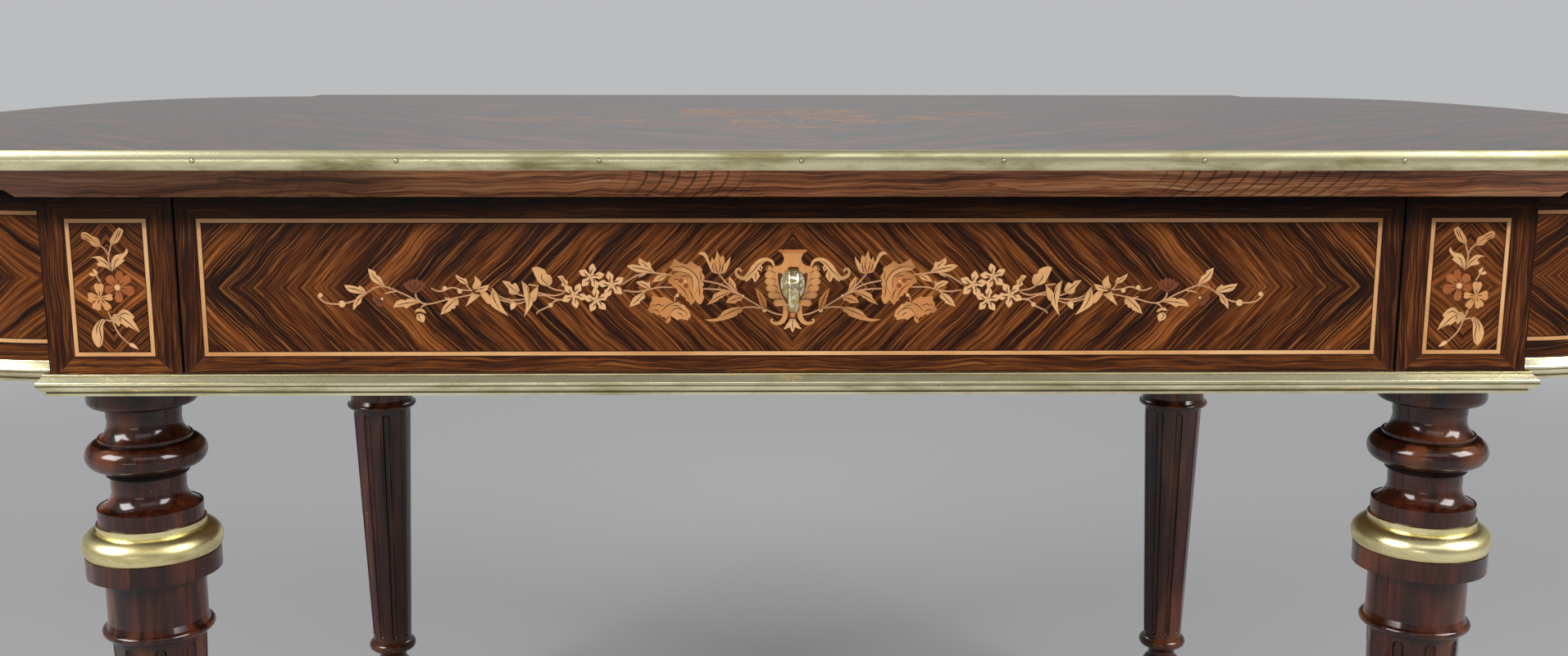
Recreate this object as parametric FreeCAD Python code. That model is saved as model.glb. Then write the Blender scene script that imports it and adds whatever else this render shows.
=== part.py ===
"""Centre table with a lobed top, one frieze drawer, turned and fluted legs and brass mouldings.

Millimetres, +Z up. The origin is on the floor under the middle of the table.
+X runs along the table's length and -Y is the drawer side.
"""
import math
import os

import FreeCAD
import Part

# Plan of the frieze
block_span = 1000.0         # across the outer sides of the corner blocks
frieze_depth = 788.0        # drawer side to back
end_reach = 694.0           # middle of the table to the crown of a curved end
end_radius = 900.0          # long arc of a curved end
shoulder_radius = 148.0     # quick arcs beside the corner blocks
return_depth = 46.0         # bare side of a corner block before the curved end begins
block_width = 89.0
block_depth = 94.0

# Heights
table_height = 755.0
frieze_height = 120.0

# Top
top_overhang = 32.0
top_brass_height = 13.0
top_brass_thickness = 5.0
top_brass_crown = 2.5       # how far the convex face stands out past its edges
lipping_height = 19.0
lipping_inset = 4.0         # upper arris of the bevel, back from the brass
lipping_reach = 9.0         # lower arris of the bevel, out from the frieze
lipping_seat = 12.0         # how far the lipping runs in under the slab

# Frieze joinery
end_rail_thickness = 24.0
back_rail_thickness = 22.0
front_rail_depth = 60.0
tenon_length = 22.0
tenon_shoulder = 20.0       # shoulder above and below an upright tenon
tenon_thickness = 9.0
front_tenon_thickness = 7.0
glue_block_leg = 26.0
glue_block_length = 60.0

# Boxwood stringing
string_width = 3.0
string_depth = 0.8
drawer_string_margin = 15.3   # block side to the outer edge of the drawer's frame
block_string_margin = 17.5
frieze_string_margin = 11.5   # up from the lower brass
frieze_string_headroom = 15.3  # down from the top's underside
end_string_margin = 14.0

# Lower brass moulding
moulding_height = 15.0
moulding_bead_reach = 3.9   # small bead along the upper edge
moulding_bead_height = 1.5
moulding_bead_root = 3.3
moulding_slope_reach = 4.1  # where the slope starts, below the bead
moulding_nose_reach = 7.9
moulding_nose_drop = 6.5    # upper edge to the nose's outermost line
moulding_nose_round = 0.8   # how far the slope stops short of the nose
moulding_cheek_reach = 5.0
moulding_cheek_swell = 0.8  # rise of the curve below the nose
moulding_hollow_reach = 2.6
moulding_hollow_height = 1.6
moulding_base_reach = 3.5
moulding_base_height = 1.8

# Upper turning of a leg, from the frieze down
leg_tenon_radius = 16.0
leg_tenon_length = 42.0
leg_outset = 2.3            # leg axis outside the middle of its block
cap_disc_radius = 37.4
cap_disc_height = 16.0
neck_radius = 25.5
neck_straight = 0.36        # share of a neck's height above its flare
upper_neck_height = 23.0
ring_radius = 31.8
ring_height = 2.5
torus_radius = 41.2
torus_root_radius = 31.3
torus_height = 20.0
fillet_radius = 28.0
fillet_height = 5.0
lower_neck_height = 23.5
base_disc_radius = 35.8
base_disc_height = 11.5
quirk = 1.5                 # small step between two turned members
cap_round = 4.5             # rounded lower edge of the cap disc

# Brass collar between the two turnings
collar_height = 22.5
collar_fillet_radius = 37.4
collar_fillet_height = 4.8
collar_radius = 47.9
collar_seat_radius = 45.2

# Lower turning of a leg
dowel_radius = 15.0
dowel_length = 36.0         # length let into the upper turning
head_disc_radius = 46.2
head_disc_height = 14.5
drum_radius = 34.3
drum_height = 39.5
bead_radius = 38.6
bead_height = 5.4
shaft_top_radius = 32.2
shaft_foot_radius = 21.6
ankle_radius = 26.8
ankle_height = 12.0
foot_height = 109.0
foot_neck_radius = 15.4
foot_neck_height = 11.0
foot_swell_radius = 23.0
foot_swell_drop = 24.0      # ankle to the widest part of the foot
foot_tip_radius = 13.0
foot_tip_height = 6.0
foot_tip_chamfer = 1.0
drum_flare_height = 4.0     # small splay at each end of the drum
flute_count = 9
flute_top_width = 8.2
flute_foot_width = 5.8
flute_top_depth = 3.2
flute_foot_depth = 2.3
flute_margin = 5.5          # plain shaft above and below the flutes

# Drawer and the parts that carry it
drawer_reveal = 1.2
drawer_lift = 0.8           # gap under the drawer front
drawer_length = 560.0
drawer_front_thickness = 24.0
drawer_side_thickness = 11.0
drawer_side_height = 92.0
drawer_side_gap = 2.0
drawer_back_thickness = 10.0
drawer_back_drop = 6.0
drawer_bottom_thickness = 7.0
drawer_bottom_lift = 8.0
drawer_groove = 4.0
dovetail_lap = 10.0         # wood left in front of the half-blind dovetails
dovetail_count = 3
dovetail_flare = 3.0
dovetail_pin = 9.0          # narrow gap between two tails
runner_width = 36.0
guide_width = 25.0
guide_height = 34.0
kicker_gap = 1.5
stop_length = 30.0
stop_depth = 18.0
stop_height = 6.0
stop_spacing = 500.0

# Lock, bolt and key
key_drop = 60.3             # underside of the top to the key's axis
lock_width = 64.0
lock_depth = 11.0
lock_drop = 18.0            # key axis to the bottom of the case
lock_wall = 1.5
lock_plate_thickness = 2.0
lock_flange = 9.0
bolt_width = 40.0
bolt_thickness = 4.0
bolt_leg_width = 6.0
bolt_throw = 6.0
bolt_gap = 0.3
mortise_margin = 2.0
drill_pin_radius = 1.5
drill_pin_length = 8.0
pin_gap = 0.15
key_shank_radius = 3.0
key_bit_radius = 8.0
key_bit_thickness = 2.5
key_bit_width = 3.6
keyhole_gap = 0.7
key_projection = 30.0       # frieze face to the end of the bow
key_bow_height = 31.0
key_bow_length = 20.0
key_bow_thickness = 8.0
key_bow_round = 2.2
key_bow_bar = 3.4
key_collar_radius = 4.6
key_collar_length = 3.0
escutcheon_width = 16.0
escutcheon_height = 22.8
escutcheon_rise = 0.8       # middle of the plate above the key
escutcheon_thickness = 1.8
escutcheon_rim = 1.3        # raised border round the plate
escutcheon_sinking = 0.8

# Fastenings
screw_radius = 2.5
screw_head_radius = 4.8
screw_bite = 14.0           # length held in the top
lock_screw_radius = 1.2
lock_screw_length = 9.0
fit_gap = 0.1               # glue line or running fit round a pin

# Levels and faces that follow from the sizes above
half_span = block_span / 2
half_depth = frieze_depth / 2
opening = half_span - block_width             # half the drawer opening
slab_bottom = table_height - top_brass_height
frieze_top = slab_bottom - lipping_height
frieze_bottom = frieze_top - frieze_height
leg_top = frieze_bottom - moulding_height
slab_reach = top_overhang - top_brass_thickness
block_x = half_span - block_width / 2
block_y = half_depth - block_depth / 2
leg_x = block_x + leg_outset
block_inner_y = half_depth - block_depth
end_front = half_depth - return_depth         # where a curved end leaves the block
shoulder_y = end_front - shoulder_radius
crown_x = end_reach - end_radius
shoulder_x = crown_x + math.sqrt((end_radius - shoulder_radius) ** 2 - shoulder_y ** 2)
join_angle = math.degrees(math.atan2(shoulder_y, shoulder_x - crown_x))
key_height = frieze_top - key_drop
string_low = frieze_bottom + frieze_string_margin
string_high = frieze_top - frieze_string_headroom
plan_reach = 2 * end_reach                    # larger than the table, for cutting boxes
corners = {
    "front_left": (-1, -1),
    "front_right": (1, -1),
    "back_left": (-1, 1),
    "back_right": (1, 1),
}
sides = {"left": -1, "right": 1}
origin = FreeCAD.Vector(0, 0, 0)
up = FreeCAD.Vector(0, 0, 1)
nodes = {}


def point(x, y, z=0.0):
    return FreeCAD.Vector(x, y, z)


def polar(x, y, radius, angle):
    """Point at an angle in degrees round a centre, in plan."""
    turn = math.radians(angle)
    return point(x + radius * math.cos(turn), y + radius * math.sin(turn))


def block(x_limits, y_limits, z_limits):
    """Box between two limits on each axis."""
    size = [limits[1] - limits[0] for limits in (x_limits, y_limits, z_limits)]
    return Part.makeBox(*size, point(x_limits[0], y_limits[0], z_limits[0]))


def mirrored(shape, x_sign, y_sign=-1):
    """A part drawn at the right front, taken to another corner."""
    copy = shape.copy()
    if x_sign < 0:
        copy = copy.mirror(origin, point(1, 0))
    if y_sign > 0:
        copy = copy.mirror(origin, point(0, 1))
    return copy


def both_ends(shape):
    """A shape and its mirror image across the table's middle."""
    return [shape, mirrored(shape, -1)]


def prism(points, height):
    """Upright or flat prism on a closed polygon."""
    outline = Part.makePolygon(points + [points[0]])
    return Part.Face(outline).extrude(height)


def path_face(start, steps):
    """Face in the XZ plane. A step is a corner, or a via point and an end for an arc."""
    edges = []
    here = point(start[0], 0, start[1])
    for step in steps + [start]:
        if isinstance(step[0], tuple):
            via, end = [point(pair[0], 0, pair[1]) for pair in step]
            edges.append(Part.Arc(here, via, end).toShape())
        else:
            end = point(step[0], 0, step[1])
            edges.append(Part.makeLine(here, end))
        here = end
    return Part.Face(Part.Wire(edges))


def turning(start, steps):
    """Revolve a half profile of radius and height about the upright axis."""
    return path_face(start, steps).revolve(origin, up, 360)


# Plan outline and mouldings that follow it

def end_plan(offset, z):
    """Plan of the right-hand curved end, grown by an offset."""
    reach = shoulder_radius + offset
    half_turn = (join_angle - 90) / 2
    front = polar(shoulder_x, -shoulder_y, reach, -90)
    front_join = polar(shoulder_x, -shoulder_y, reach, -join_angle)
    front_via = polar(shoulder_x, -shoulder_y, reach, half_turn - join_angle)
    crown = point(end_reach + offset, 0)
    back = point(front.x, -front.y)
    back_join = point(front_join.x, -front_join.y)
    back_via = point(front_via.x, -front_via.y)
    edges = [
        Part.makeLine(point(0, front.y), front),
        Part.Arc(front, front_via, front_join).toShape(),
        Part.Arc(front_join, crown, back_join).toShape(),
        Part.Arc(back_join, back_via, back).toShape(),
        Part.makeLine(back, point(0, back.y)),
        Part.makeLine(point(0, back.y), point(0, front.y)),
    ]
    face = Part.Face(Part.Wire(edges))
    face.translate(point(0, 0, z))
    return face


def end_prism(offset, z_limits):
    return end_plan(offset, z_limits[0]).extrude(up * (z_limits[1] - z_limits[0]))


def whole_plan(offset, z_limits):
    """Solid slab of the table's plan, grown by an offset."""
    span = half_span + offset
    depth = half_depth + offset
    middle = block((-span, span), (-depth, depth), z_limits)
    return middle.multiFuse(both_ends(end_prism(offset, z_limits))).removeSplitter()


def set_profile(profile, angle, place):
    """Turn a profile so that its X points outwards, and carry it to its place."""
    copy = profile.copy()
    copy.rotate(origin, up, angle)
    copy.translate(place)
    return copy


def end_run(profile):
    """Sweep a profile round the right-hand curved end, from the table's middle line."""
    tangent = point(shoulder_x, -end_front)
    run = set_profile(profile, -90, point(0, -end_front)).extrude(point(shoulder_x, 0))
    shoulder_centre = point(shoulder_x, -shoulder_y)
    shoulder = set_profile(profile, -90, tangent).revolve(shoulder_centre, up, 90 - join_angle)
    crown_start = polar(crown_x, 0, end_radius, -join_angle)
    crown = set_profile(profile, -join_angle, crown_start)
    crown = crown.revolve(point(crown_x, 0), up, 2 * join_angle)
    others = [shoulder, crown, mirrored(shoulder, 1, 1), mirrored(run, 1, 1)]
    return run.multiFuse(others)


def front_moulding(profile, reach, seat):
    """Front run with a mitred return on each block, coped where the curved ends come in."""
    low = profile.BoundBox.ZMin
    high = profile.BoundBox.ZMax
    tall = up * (high - low)
    run = set_profile(profile, -90, point(-half_span - reach, -half_depth))
    run = run.extrude(point(block_span + 2 * reach, 0))
    mitre = max(reach, seat)
    outer = point(half_span + mitre, -half_depth - mitre, low)
    inner = point(half_span - mitre, -half_depth + mitre, low)
    outer_left = point(-outer.x, outer.y, low)
    inner_left = point(-inner.x, inner.y, low)
    run = run.common(prism([outer_left, outer, inner, inner_left], tall))
    side = set_profile(profile, 0, point(half_span, -half_depth - reach))
    side = side.extrude(point(0, half_depth))
    far = -half_depth + return_depth + mitre
    side_points = [outer, point(outer.x, far, low), point(inner.x, far, low), inner]
    side = side.common(prism(side_points, tall))
    end_body = end_prism(-seat, (low, high)).fuse(end_run(profile))
    keep_out = end_body.common(block((half_span - seat, plan_reach), (-plan_reach, 0), (low, high)))
    side = side.cut(keep_out)
    return run.multiFuse(both_ends(side)).removeSplitter()


def end_moulding(profile, seat):
    """Right-hand curved run, butted on the corner blocks or the core."""
    middle = half_span - seat
    gap = block((-middle, middle), (-plan_reach, plan_reach), (0, table_height))
    return end_run(profile).cut(gap)


def four_sides(name, profile, reach, seat):
    """Front, back and end lengths of one moulding, each a node."""
    front = front_moulding(profile, reach, seat)
    end = end_moulding(profile, seat)
    nodes[name + "_front"] = front
    nodes[name + "_back"] = mirrored(front, 1, 1)
    nodes[name + "_left"] = mirrored(end, -1)
    nodes[name + "_right"] = end


# Top: a veneered slab on a core, bevelled lipping under its edge and a brass band round it

def make_top():
    slab = whole_plan(slab_reach, (slab_bottom, table_height))
    core = whole_plan(-lipping_seat, (frieze_top, slab_bottom))
    nodes["top_panel"] = slab.fuse(core).removeSplitter()
    bevel_top = top_overhang - lipping_inset
    lipping = path_face(
        (-lipping_seat, frieze_top),
        [
            (lipping_reach, frieze_top),
            (bevel_top, slab_bottom),
            (-lipping_seat, slab_bottom),
        ],
    )
    four_sides("top_lipping", lipping, bevel_top, lipping_seat)
    face = top_overhang - top_brass_crown
    brass = path_face(
        (slab_reach, slab_bottom),
        [
            (face, slab_bottom),
            ((top_overhang, (slab_bottom + table_height) / 2), (face, table_height)),
            (slab_reach, table_height),
        ],
    )
    four_sides("top_brass", brass, top_overhang, -slab_reach)


# Lower brass moulding under the frieze: bead, slope, round nose, swelling cheek, hollow and base fillet

def make_lower_brass():
    top = frieze_bottom
    bead_low = top - moulding_bead_height
    nose = top - moulding_nose_drop
    base_top = leg_top + moulding_base_height
    cheek_low = base_top + moulding_hollow_height
    chord = (moulding_nose_reach - moulding_cheek_reach, nose - cheek_low)
    share = moulding_cheek_swell / math.hypot(*chord)
    cheek_via = (
        moulding_cheek_reach + chord[0] / 2 + chord[1] * share,
        cheek_low + chord[1] / 2 - chord[0] * share,
    )
    slope_foot = (moulding_nose_reach - moulding_nose_round, nose + 2 * moulding_nose_round)
    nose_via = (moulding_nose_reach - 0.3 * moulding_nose_round, nose + 1.1 * moulding_nose_round)
    bead_via = (moulding_bead_reach, (top + bead_low) / 2)
    profile = path_face(
        (0, leg_top),
        [
            (moulding_base_reach, leg_top),
            (moulding_base_reach, base_top),
            (moulding_hollow_reach, base_top),
            (moulding_hollow_reach, cheek_low),
            (moulding_cheek_reach, cheek_low),
            (cheek_via, (moulding_nose_reach, nose)),
            (nose_via, slope_foot),
            (moulding_slope_reach, bead_low),
            (moulding_bead_root, bead_low),
            (bead_via, (moulding_bead_root, top)),
            (0, top),
        ],
    )
    four_sides("frieze_brass", profile, moulding_nose_reach, 0)


# Frieze: corner blocks, curved end rails, back rail and the rail under the drawer

def rail_tenons():
    """Tenons of the right front block, by the rail that carries them."""
    upright = (leg_top + tenon_shoulder, frieze_top - tenon_shoulder)
    end_y = -end_front + end_rail_thickness / 2
    end = block(
        (half_span - tenon_length, half_span),
        (end_y - tenon_thickness / 2, end_y + tenon_thickness / 2),
        upright,
    )
    back_y = half_depth - back_rail_thickness / 2
    back = block(
        (opening, opening + tenon_length),
        (back_y - tenon_thickness / 2, back_y + tenon_thickness / 2),
        upright,
    )
    front_z = leg_top + moulding_height / 2
    front = block(
        (opening, opening + tenon_length),
        (-half_depth + tenon_shoulder, -half_depth + front_rail_depth - tenon_shoulder / 2),
        (front_z - front_tenon_thickness / 2, front_z + front_tenon_thickness / 2),
    )
    return end, back, front


def make_blocks():
    end_tenon, back_tenon, front_tenon = rail_tenons()
    body = block((opening, half_span), (-half_depth, -block_inner_y), (leg_top, frieze_top))
    socket_depth = leg_tenon_length + fit_gap
    socket = Part.makeCylinder(leg_tenon_radius + fit_gap, socket_depth, point(leg_x, -block_y, leg_top))
    body = body.cut([end_tenon, socket])
    front_body = body.cut(front_tenon)
    back_body = body.cut(mirrored(back_tenon, 1, 1))
    for corner, (x_sign, y_sign) in corners.items():
        solid = front_body if y_sign < 0 else back_body
        nodes["corner_block_" + corner] = mirrored(solid, x_sign, y_sign)


def make_rails():
    end_tenon, back_tenon, front_tenon = rail_tenons()
    heights = (leg_top, frieze_top)
    end = end_prism(0, heights).cut(end_prism(-end_rail_thickness, heights))
    end = end.cut(block((-half_span, half_span), (-plan_reach, plan_reach), heights))
    end = end.multiFuse([end_tenon, mirrored(end_tenon, 1, 1)]).removeSplitter()
    for side, sign in sides.items():
        nodes["end_rail_" + side] = mirrored(end, sign)
    back = block((-opening, opening), (half_depth - back_rail_thickness, half_depth), heights)
    nodes["back_rail"] = back.multiFuse(both_ends(back_tenon)).removeSplitter()
    front_back = -half_depth + front_rail_depth
    front = block((-opening, opening), (-half_depth, front_back), (leg_top, frieze_bottom))
    nodes["drawer_rail"] = front.multiFuse(both_ends(front_tenon)).removeSplitter()


def make_glue_blocks():
    """Three-cornered blocks rubbed into the angle of top and rails."""
    leg = glue_block_leg
    back_face = half_depth - back_rail_thickness
    corner = point(-glue_block_length / 2, back_face, frieze_top)
    triangle = [corner, corner - point(0, leg), corner - point(0, 0, leg)]
    middle = prism(triangle, point(glue_block_length, 0))
    solids = []
    for place in (-opening / 2, 0, opening / 2):
        solids.append(middle.translated(point(place, 0)))
    inner = end_prism(-end_rail_thickness, (leg_top, frieze_top))
    crown_face = end_reach - end_rail_thickness
    top_corner = point(crown_face, -glue_block_length / 2, frieze_top)
    triangle = [top_corner, top_corner - point(leg, 0), top_corner - point(0, 0, leg)]
    crown = prism(triangle, point(0, glue_block_length))
    turn = join_angle / 2
    for angle in (-turn, turn):
        copy = crown.copy()
        copy.rotate(point(crown_x, 0), up, angle)
        solids += both_ends(copy.common(inner))
    nodes["glue_blocks"] = Part.makeCompound(solids)


# Boxwood stringing let into the faces

def string_frame(half_width, middle_x):
    """Four mitred strips on the front face of the frieze."""
    outer = [
        point(middle_x - half_width, -half_depth, string_low),
        point(middle_x + half_width, -half_depth, string_low),
        point(middle_x + half_width, -half_depth, string_high),
        point(middle_x - half_width, -half_depth, string_high),
    ]
    inward = [(1, 1), (-1, 1), (-1, -1), (1, -1)]
    inner = []
    for place, (x_sign, z_sign) in zip(outer, inward):
        inner.append(place + point(x_sign * string_width, 0, z_sign * string_width))
    strips = []
    for first in range(len(outer)):
        second = (first + 1) % len(outer)
        strip = [outer[first], outer[second], inner[second], inner[first]]
        strips.append(prism(strip, point(0, string_depth)))
    return strips


def string_panel(low, high, reach, depth):
    """Thin shell on the face of the right-hand curved end, between two heights."""
    profile = path_face((-depth, low), [(reach, low), (reach, high), (-depth, high)])
    return end_run(profile)


def make_stringing():
    outer_x = half_span + end_string_margin
    shell = string_panel(string_low, string_high, 0, string_depth)
    shell = shell.cut(block((-outer_x, outer_x), (-plan_reach, plan_reach), (0, table_height)))
    field = string_panel(
        string_low + string_width, string_high - string_width, string_depth, 2 * string_depth
    )
    inner_x = outer_x + string_width
    field = field.cut(block((-inner_x, inner_x), (-plan_reach, plan_reach), (0, table_height)))
    end_frame = shell.cut(field)
    nodes["end_stringing"] = Part.makeCompound(both_ends(end_frame))
    drawer_frame = string_frame(opening - drawer_string_margin, 0)
    block_frame = string_frame(block_width / 2 - block_string_margin, block_x)
    nodes["drawer_stringing"] = Part.makeCompound(drawer_frame)
    nodes["back_stringing"] = Part.makeCompound([mirrored(strip, 1, 1) for strip in drawer_frame])
    strips = []
    for x_sign, y_sign in corners.values():
        strips += [mirrored(strip, x_sign, y_sign) for strip in block_frame]
    nodes["block_stringing"] = Part.makeCompound(strips)
    let_in("back_rail", nodes["back_stringing"].Solids)
    for side in sides:
        let_in("end_rail_" + side, nodes["end_stringing"].Solids)
    for corner in corners:
        let_in("corner_block_" + corner, nodes["block_stringing"].Solids)


def let_in(name, cutters):
    """Cut the beds of inlaid or housed pieces out of the piece that carries them."""
    body = nodes[name]
    near = [cutter for cutter in cutters if body.BoundBox.intersect(cutter.BoundBox)]
    nodes[name] = body.cut(near)


# Legs: an upper turning, a brass collar and a fluted lower turning held by a dowel

def flare(radius, start, end_radius, end):
    """Hollow curve from a straight neck out to a wider member, as an arc's via point and end."""
    bend = 1 - math.sqrt(0.5)
    via = (radius + bend * (end_radius - radius), end + bend * (start - end))
    return via, (end_radius, end)


def make_upper_turning():
    cap_low = leg_top - cap_disc_height
    ring_top = cap_low - upper_neck_height
    ring_low = ring_top - ring_height
    torus_low = ring_low - torus_height
    fillet_low = torus_low - fillet_height
    base_top = fillet_low - lower_neck_height
    base_low = base_top - base_disc_height
    upper_flare = cap_low - neck_straight * upper_neck_height
    lower_flare = fillet_low - neck_straight * lower_neck_height
    cap_edge = cap_disc_radius - cap_round
    bend = cap_round * (1 - math.sqrt(0.5))
    shape = turning(
        (0, leg_top + leg_tenon_length),
        [
            (leg_tenon_radius, leg_top + leg_tenon_length),
            (leg_tenon_radius, leg_top),
            (cap_disc_radius, leg_top),
            (cap_disc_radius, cap_low + cap_round),
            ((cap_disc_radius - bend, cap_low + bend), (cap_edge, cap_low)),
            (neck_radius, cap_low),
            (neck_radius, upper_flare),
            flare(neck_radius, upper_flare, ring_radius - quirk, ring_top),
            (ring_radius, ring_top),
            (ring_radius, ring_low),
            (torus_root_radius, ring_low),
            ((torus_radius, (ring_low + torus_low) / 2), (torus_root_radius, torus_low)),
            (fillet_radius, torus_low),
            (fillet_radius, fillet_low),
            (neck_radius, fillet_low),
            (neck_radius, lower_flare),
            flare(neck_radius, lower_flare, base_disc_radius - quirk, base_top),
            (base_disc_radius, base_top),
            (base_disc_radius, base_low),
            (dowel_radius + fit_gap, base_low),
            (dowel_radius + fit_gap, base_low + dowel_length + fit_gap),
            (0, base_low + dowel_length + fit_gap),
        ],
    )
    return shape, base_low


def make_collar(top):
    low = top - collar_height
    fillet_low = top - collar_fillet_height
    bore = dowel_radius + fit_gap
    round_middle = (fillet_low + low) / 2
    return turning(
        (bore, top),
        [
            (collar_fillet_radius, top),
            (collar_fillet_radius, fillet_low),
            (collar_fillet_radius + quirk, fillet_low),
            ((collar_radius, round_middle), (collar_seat_radius, low)),
            (bore, low),
        ],
    ), low


def flute_section(width, depth):
    """Radius of a flute's cutter and how far its centre stands off the shaft."""
    radius = (width * width / 4 + depth * depth) / (2 * depth)
    return radius, radius - depth


def make_lower_turning(top):
    head_low = top - head_disc_height
    bead_top = head_low - drum_height
    shaft_top = bead_top - bead_height
    ankle_low = foot_height
    shaft_low = ankle_low + ankle_height
    neck_low = ankle_low - foot_neck_height
    swell = ankle_low - foot_swell_drop
    body = turning(
        (0, top + collar_height + dowel_length),
        [
            (dowel_radius, top + collar_height + dowel_length),
            (dowel_radius, top),
            (head_disc_radius, top),
            (head_disc_radius, head_low),
            (drum_radius + quirk, head_low),
            (drum_radius, head_low - drum_flare_height),
            (drum_radius, bead_top + drum_flare_height),
            (drum_radius + quirk, bead_top),
            ((bead_radius, (bead_top + shaft_top) / 2), (shaft_top_radius + quirk, shaft_top)),
            (shaft_top_radius, shaft_top),
            (shaft_foot_radius, shaft_low),
            ((ankle_radius, (shaft_low + ankle_low) / 2), (foot_neck_radius + 2 * quirk, ankle_low)),
            (foot_neck_radius, ankle_low - foot_neck_height / 2),
            (foot_neck_radius, neck_low),
            ((foot_swell_radius, swell), (foot_swell_radius - quirk, swell - foot_swell_drop / 2)),
            (foot_tip_radius, foot_tip_height),
            (foot_tip_radius - foot_tip_chamfer, 0),
            (0, 0),
        ],
    )
    upper_radius, upper_stand = flute_section(flute_top_width, flute_top_depth)
    lower_radius, lower_stand = flute_section(flute_foot_width, flute_foot_depth)
    taper = (shaft_top_radius - shaft_foot_radius) / (shaft_top - shaft_low)
    high = shaft_top - flute_margin - upper_radius
    low = shaft_low + flute_margin + lower_radius
    start = point(shaft_top_radius - taper * (shaft_top - high) + upper_stand, 0, high)
    stop = point(shaft_foot_radius + taper * (low - shaft_low) + lower_stand, 0, low)
    cone = Part.makeCone(upper_radius, lower_radius, (stop - start).Length, start, stop - start)
    ends = [Part.makeSphere(upper_radius, start), Part.makeSphere(lower_radius, stop)]
    flute = cone.multiFuse(ends)
    cutters = []
    for number in range(flute_count):
        copy = flute.copy()
        copy.rotate(origin, up, 360 * number / flute_count)
        cutters.append(copy)
    return body.cut(cutters)


def make_legs():
    upper, collar_top = make_upper_turning()
    collar, collar_low = make_collar(collar_top)
    lower = make_lower_turning(collar_low)
    half_pitch = 180 / flute_count
    for corner, (x_sign, y_sign) in corners.items():
        place = point(x_sign * leg_x, y_sign * block_y)
        nodes["leg_turning_" + corner] = upper.translated(place)
        nodes["leg_collar_" + corner] = collar.translated(place)
        # A flute faces the front on the right legs, and the wood between two flutes on the left ones.
        column = lower.copy()
        column.rotate(origin, up, -90 if x_sign > 0 else half_pitch - 90)
        nodes["leg_column_" + corner] = column.translated(place)


# Parts in the frieze that carry and stop the drawer

def make_drawer_bed():
    rail_back = -half_depth + front_rail_depth
    back_face = half_depth - back_rail_thickness
    kicker_low = frieze_bottom + drawer_side_height + kicker_gap
    inner = opening - runner_width
    outer = opening + guide_width
    between = (-block_inner_y, block_inner_y)
    runner = block((inner, opening), (rail_back, back_face), (leg_top, frieze_bottom))
    guide = block((opening, outer), between, (leg_top, frieze_bottom + guide_height))
    kicker = block((inner, outer), between, (kicker_low, frieze_top))
    screw_x = opening + guide_width / 2
    shank = frieze_top + screw_bite - kicker_low
    head = screw_head_radius - screw_radius
    holes = []
    screws = []
    for y in (-block_inner_y / 2, block_inner_y / 2):
        place = point(screw_x, y, kicker_low)
        cone = Part.makeCone(screw_head_radius, screw_radius, head, place)
        screws.append(cone.fuse(Part.makeCylinder(screw_radius, shank, place)))
        wide = Part.makeCone(screw_head_radius + fit_gap, screw_radius + fit_gap, head, place)
        holes.append(wide.fuse(Part.makeCylinder(screw_radius + fit_gap, shank + fit_gap, place)))
    kicker = kicker.cut(holes)
    for side, sign in sides.items():
        nodes["drawer_runner_" + side] = mirrored(runner, sign)
        nodes["drawer_guide_" + side] = mirrored(guide, sign)
        nodes["drawer_kicker_" + side] = mirrored(kicker, sign)
    top_holes = holes + [mirrored(hole, -1) for hole in holes]
    nodes["top_screws"] = Part.makeCompound(screws + [mirrored(screw, -1) for screw in screws])
    nodes["top_panel"] = nodes["top_panel"].cut(top_holes)
    stop_front = -half_depth + drawer_front_thickness
    stop_x = stop_spacing / 2
    stop = block(
        (stop_x - stop_length / 2, stop_x + stop_length / 2),
        (stop_front, stop_front + stop_depth),
        (frieze_bottom, frieze_bottom + stop_height),
    )
    nodes["drawer_stops"] = Part.makeCompound(both_ends(stop))


# Drawer: flush veneered front, dovetailed sides and back, bottom in a groove

def dovetails(low, high, root_y, length):
    """Tails of the right-hand drawer side, flaring away from the drawer's middle."""
    outer = opening - drawer_side_gap
    pitch = (high - low) / dovetail_count
    tails = []
    for number in range(dovetail_count):
        foot = low + number * pitch + dovetail_pin / 2
        head = low + (number + 1) * pitch - dovetail_pin / 2
        tip_y = root_y + length
        tail = [
            point(outer - drawer_side_thickness, root_y, foot + dovetail_flare),
            point(outer - drawer_side_thickness, root_y, head - dovetail_flare),
            point(outer - drawer_side_thickness, tip_y, head),
            point(outer - drawer_side_thickness, tip_y, foot),
        ]
        tails.append(prism(tail, point(drawer_side_thickness, 0)))
    return tails


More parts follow.
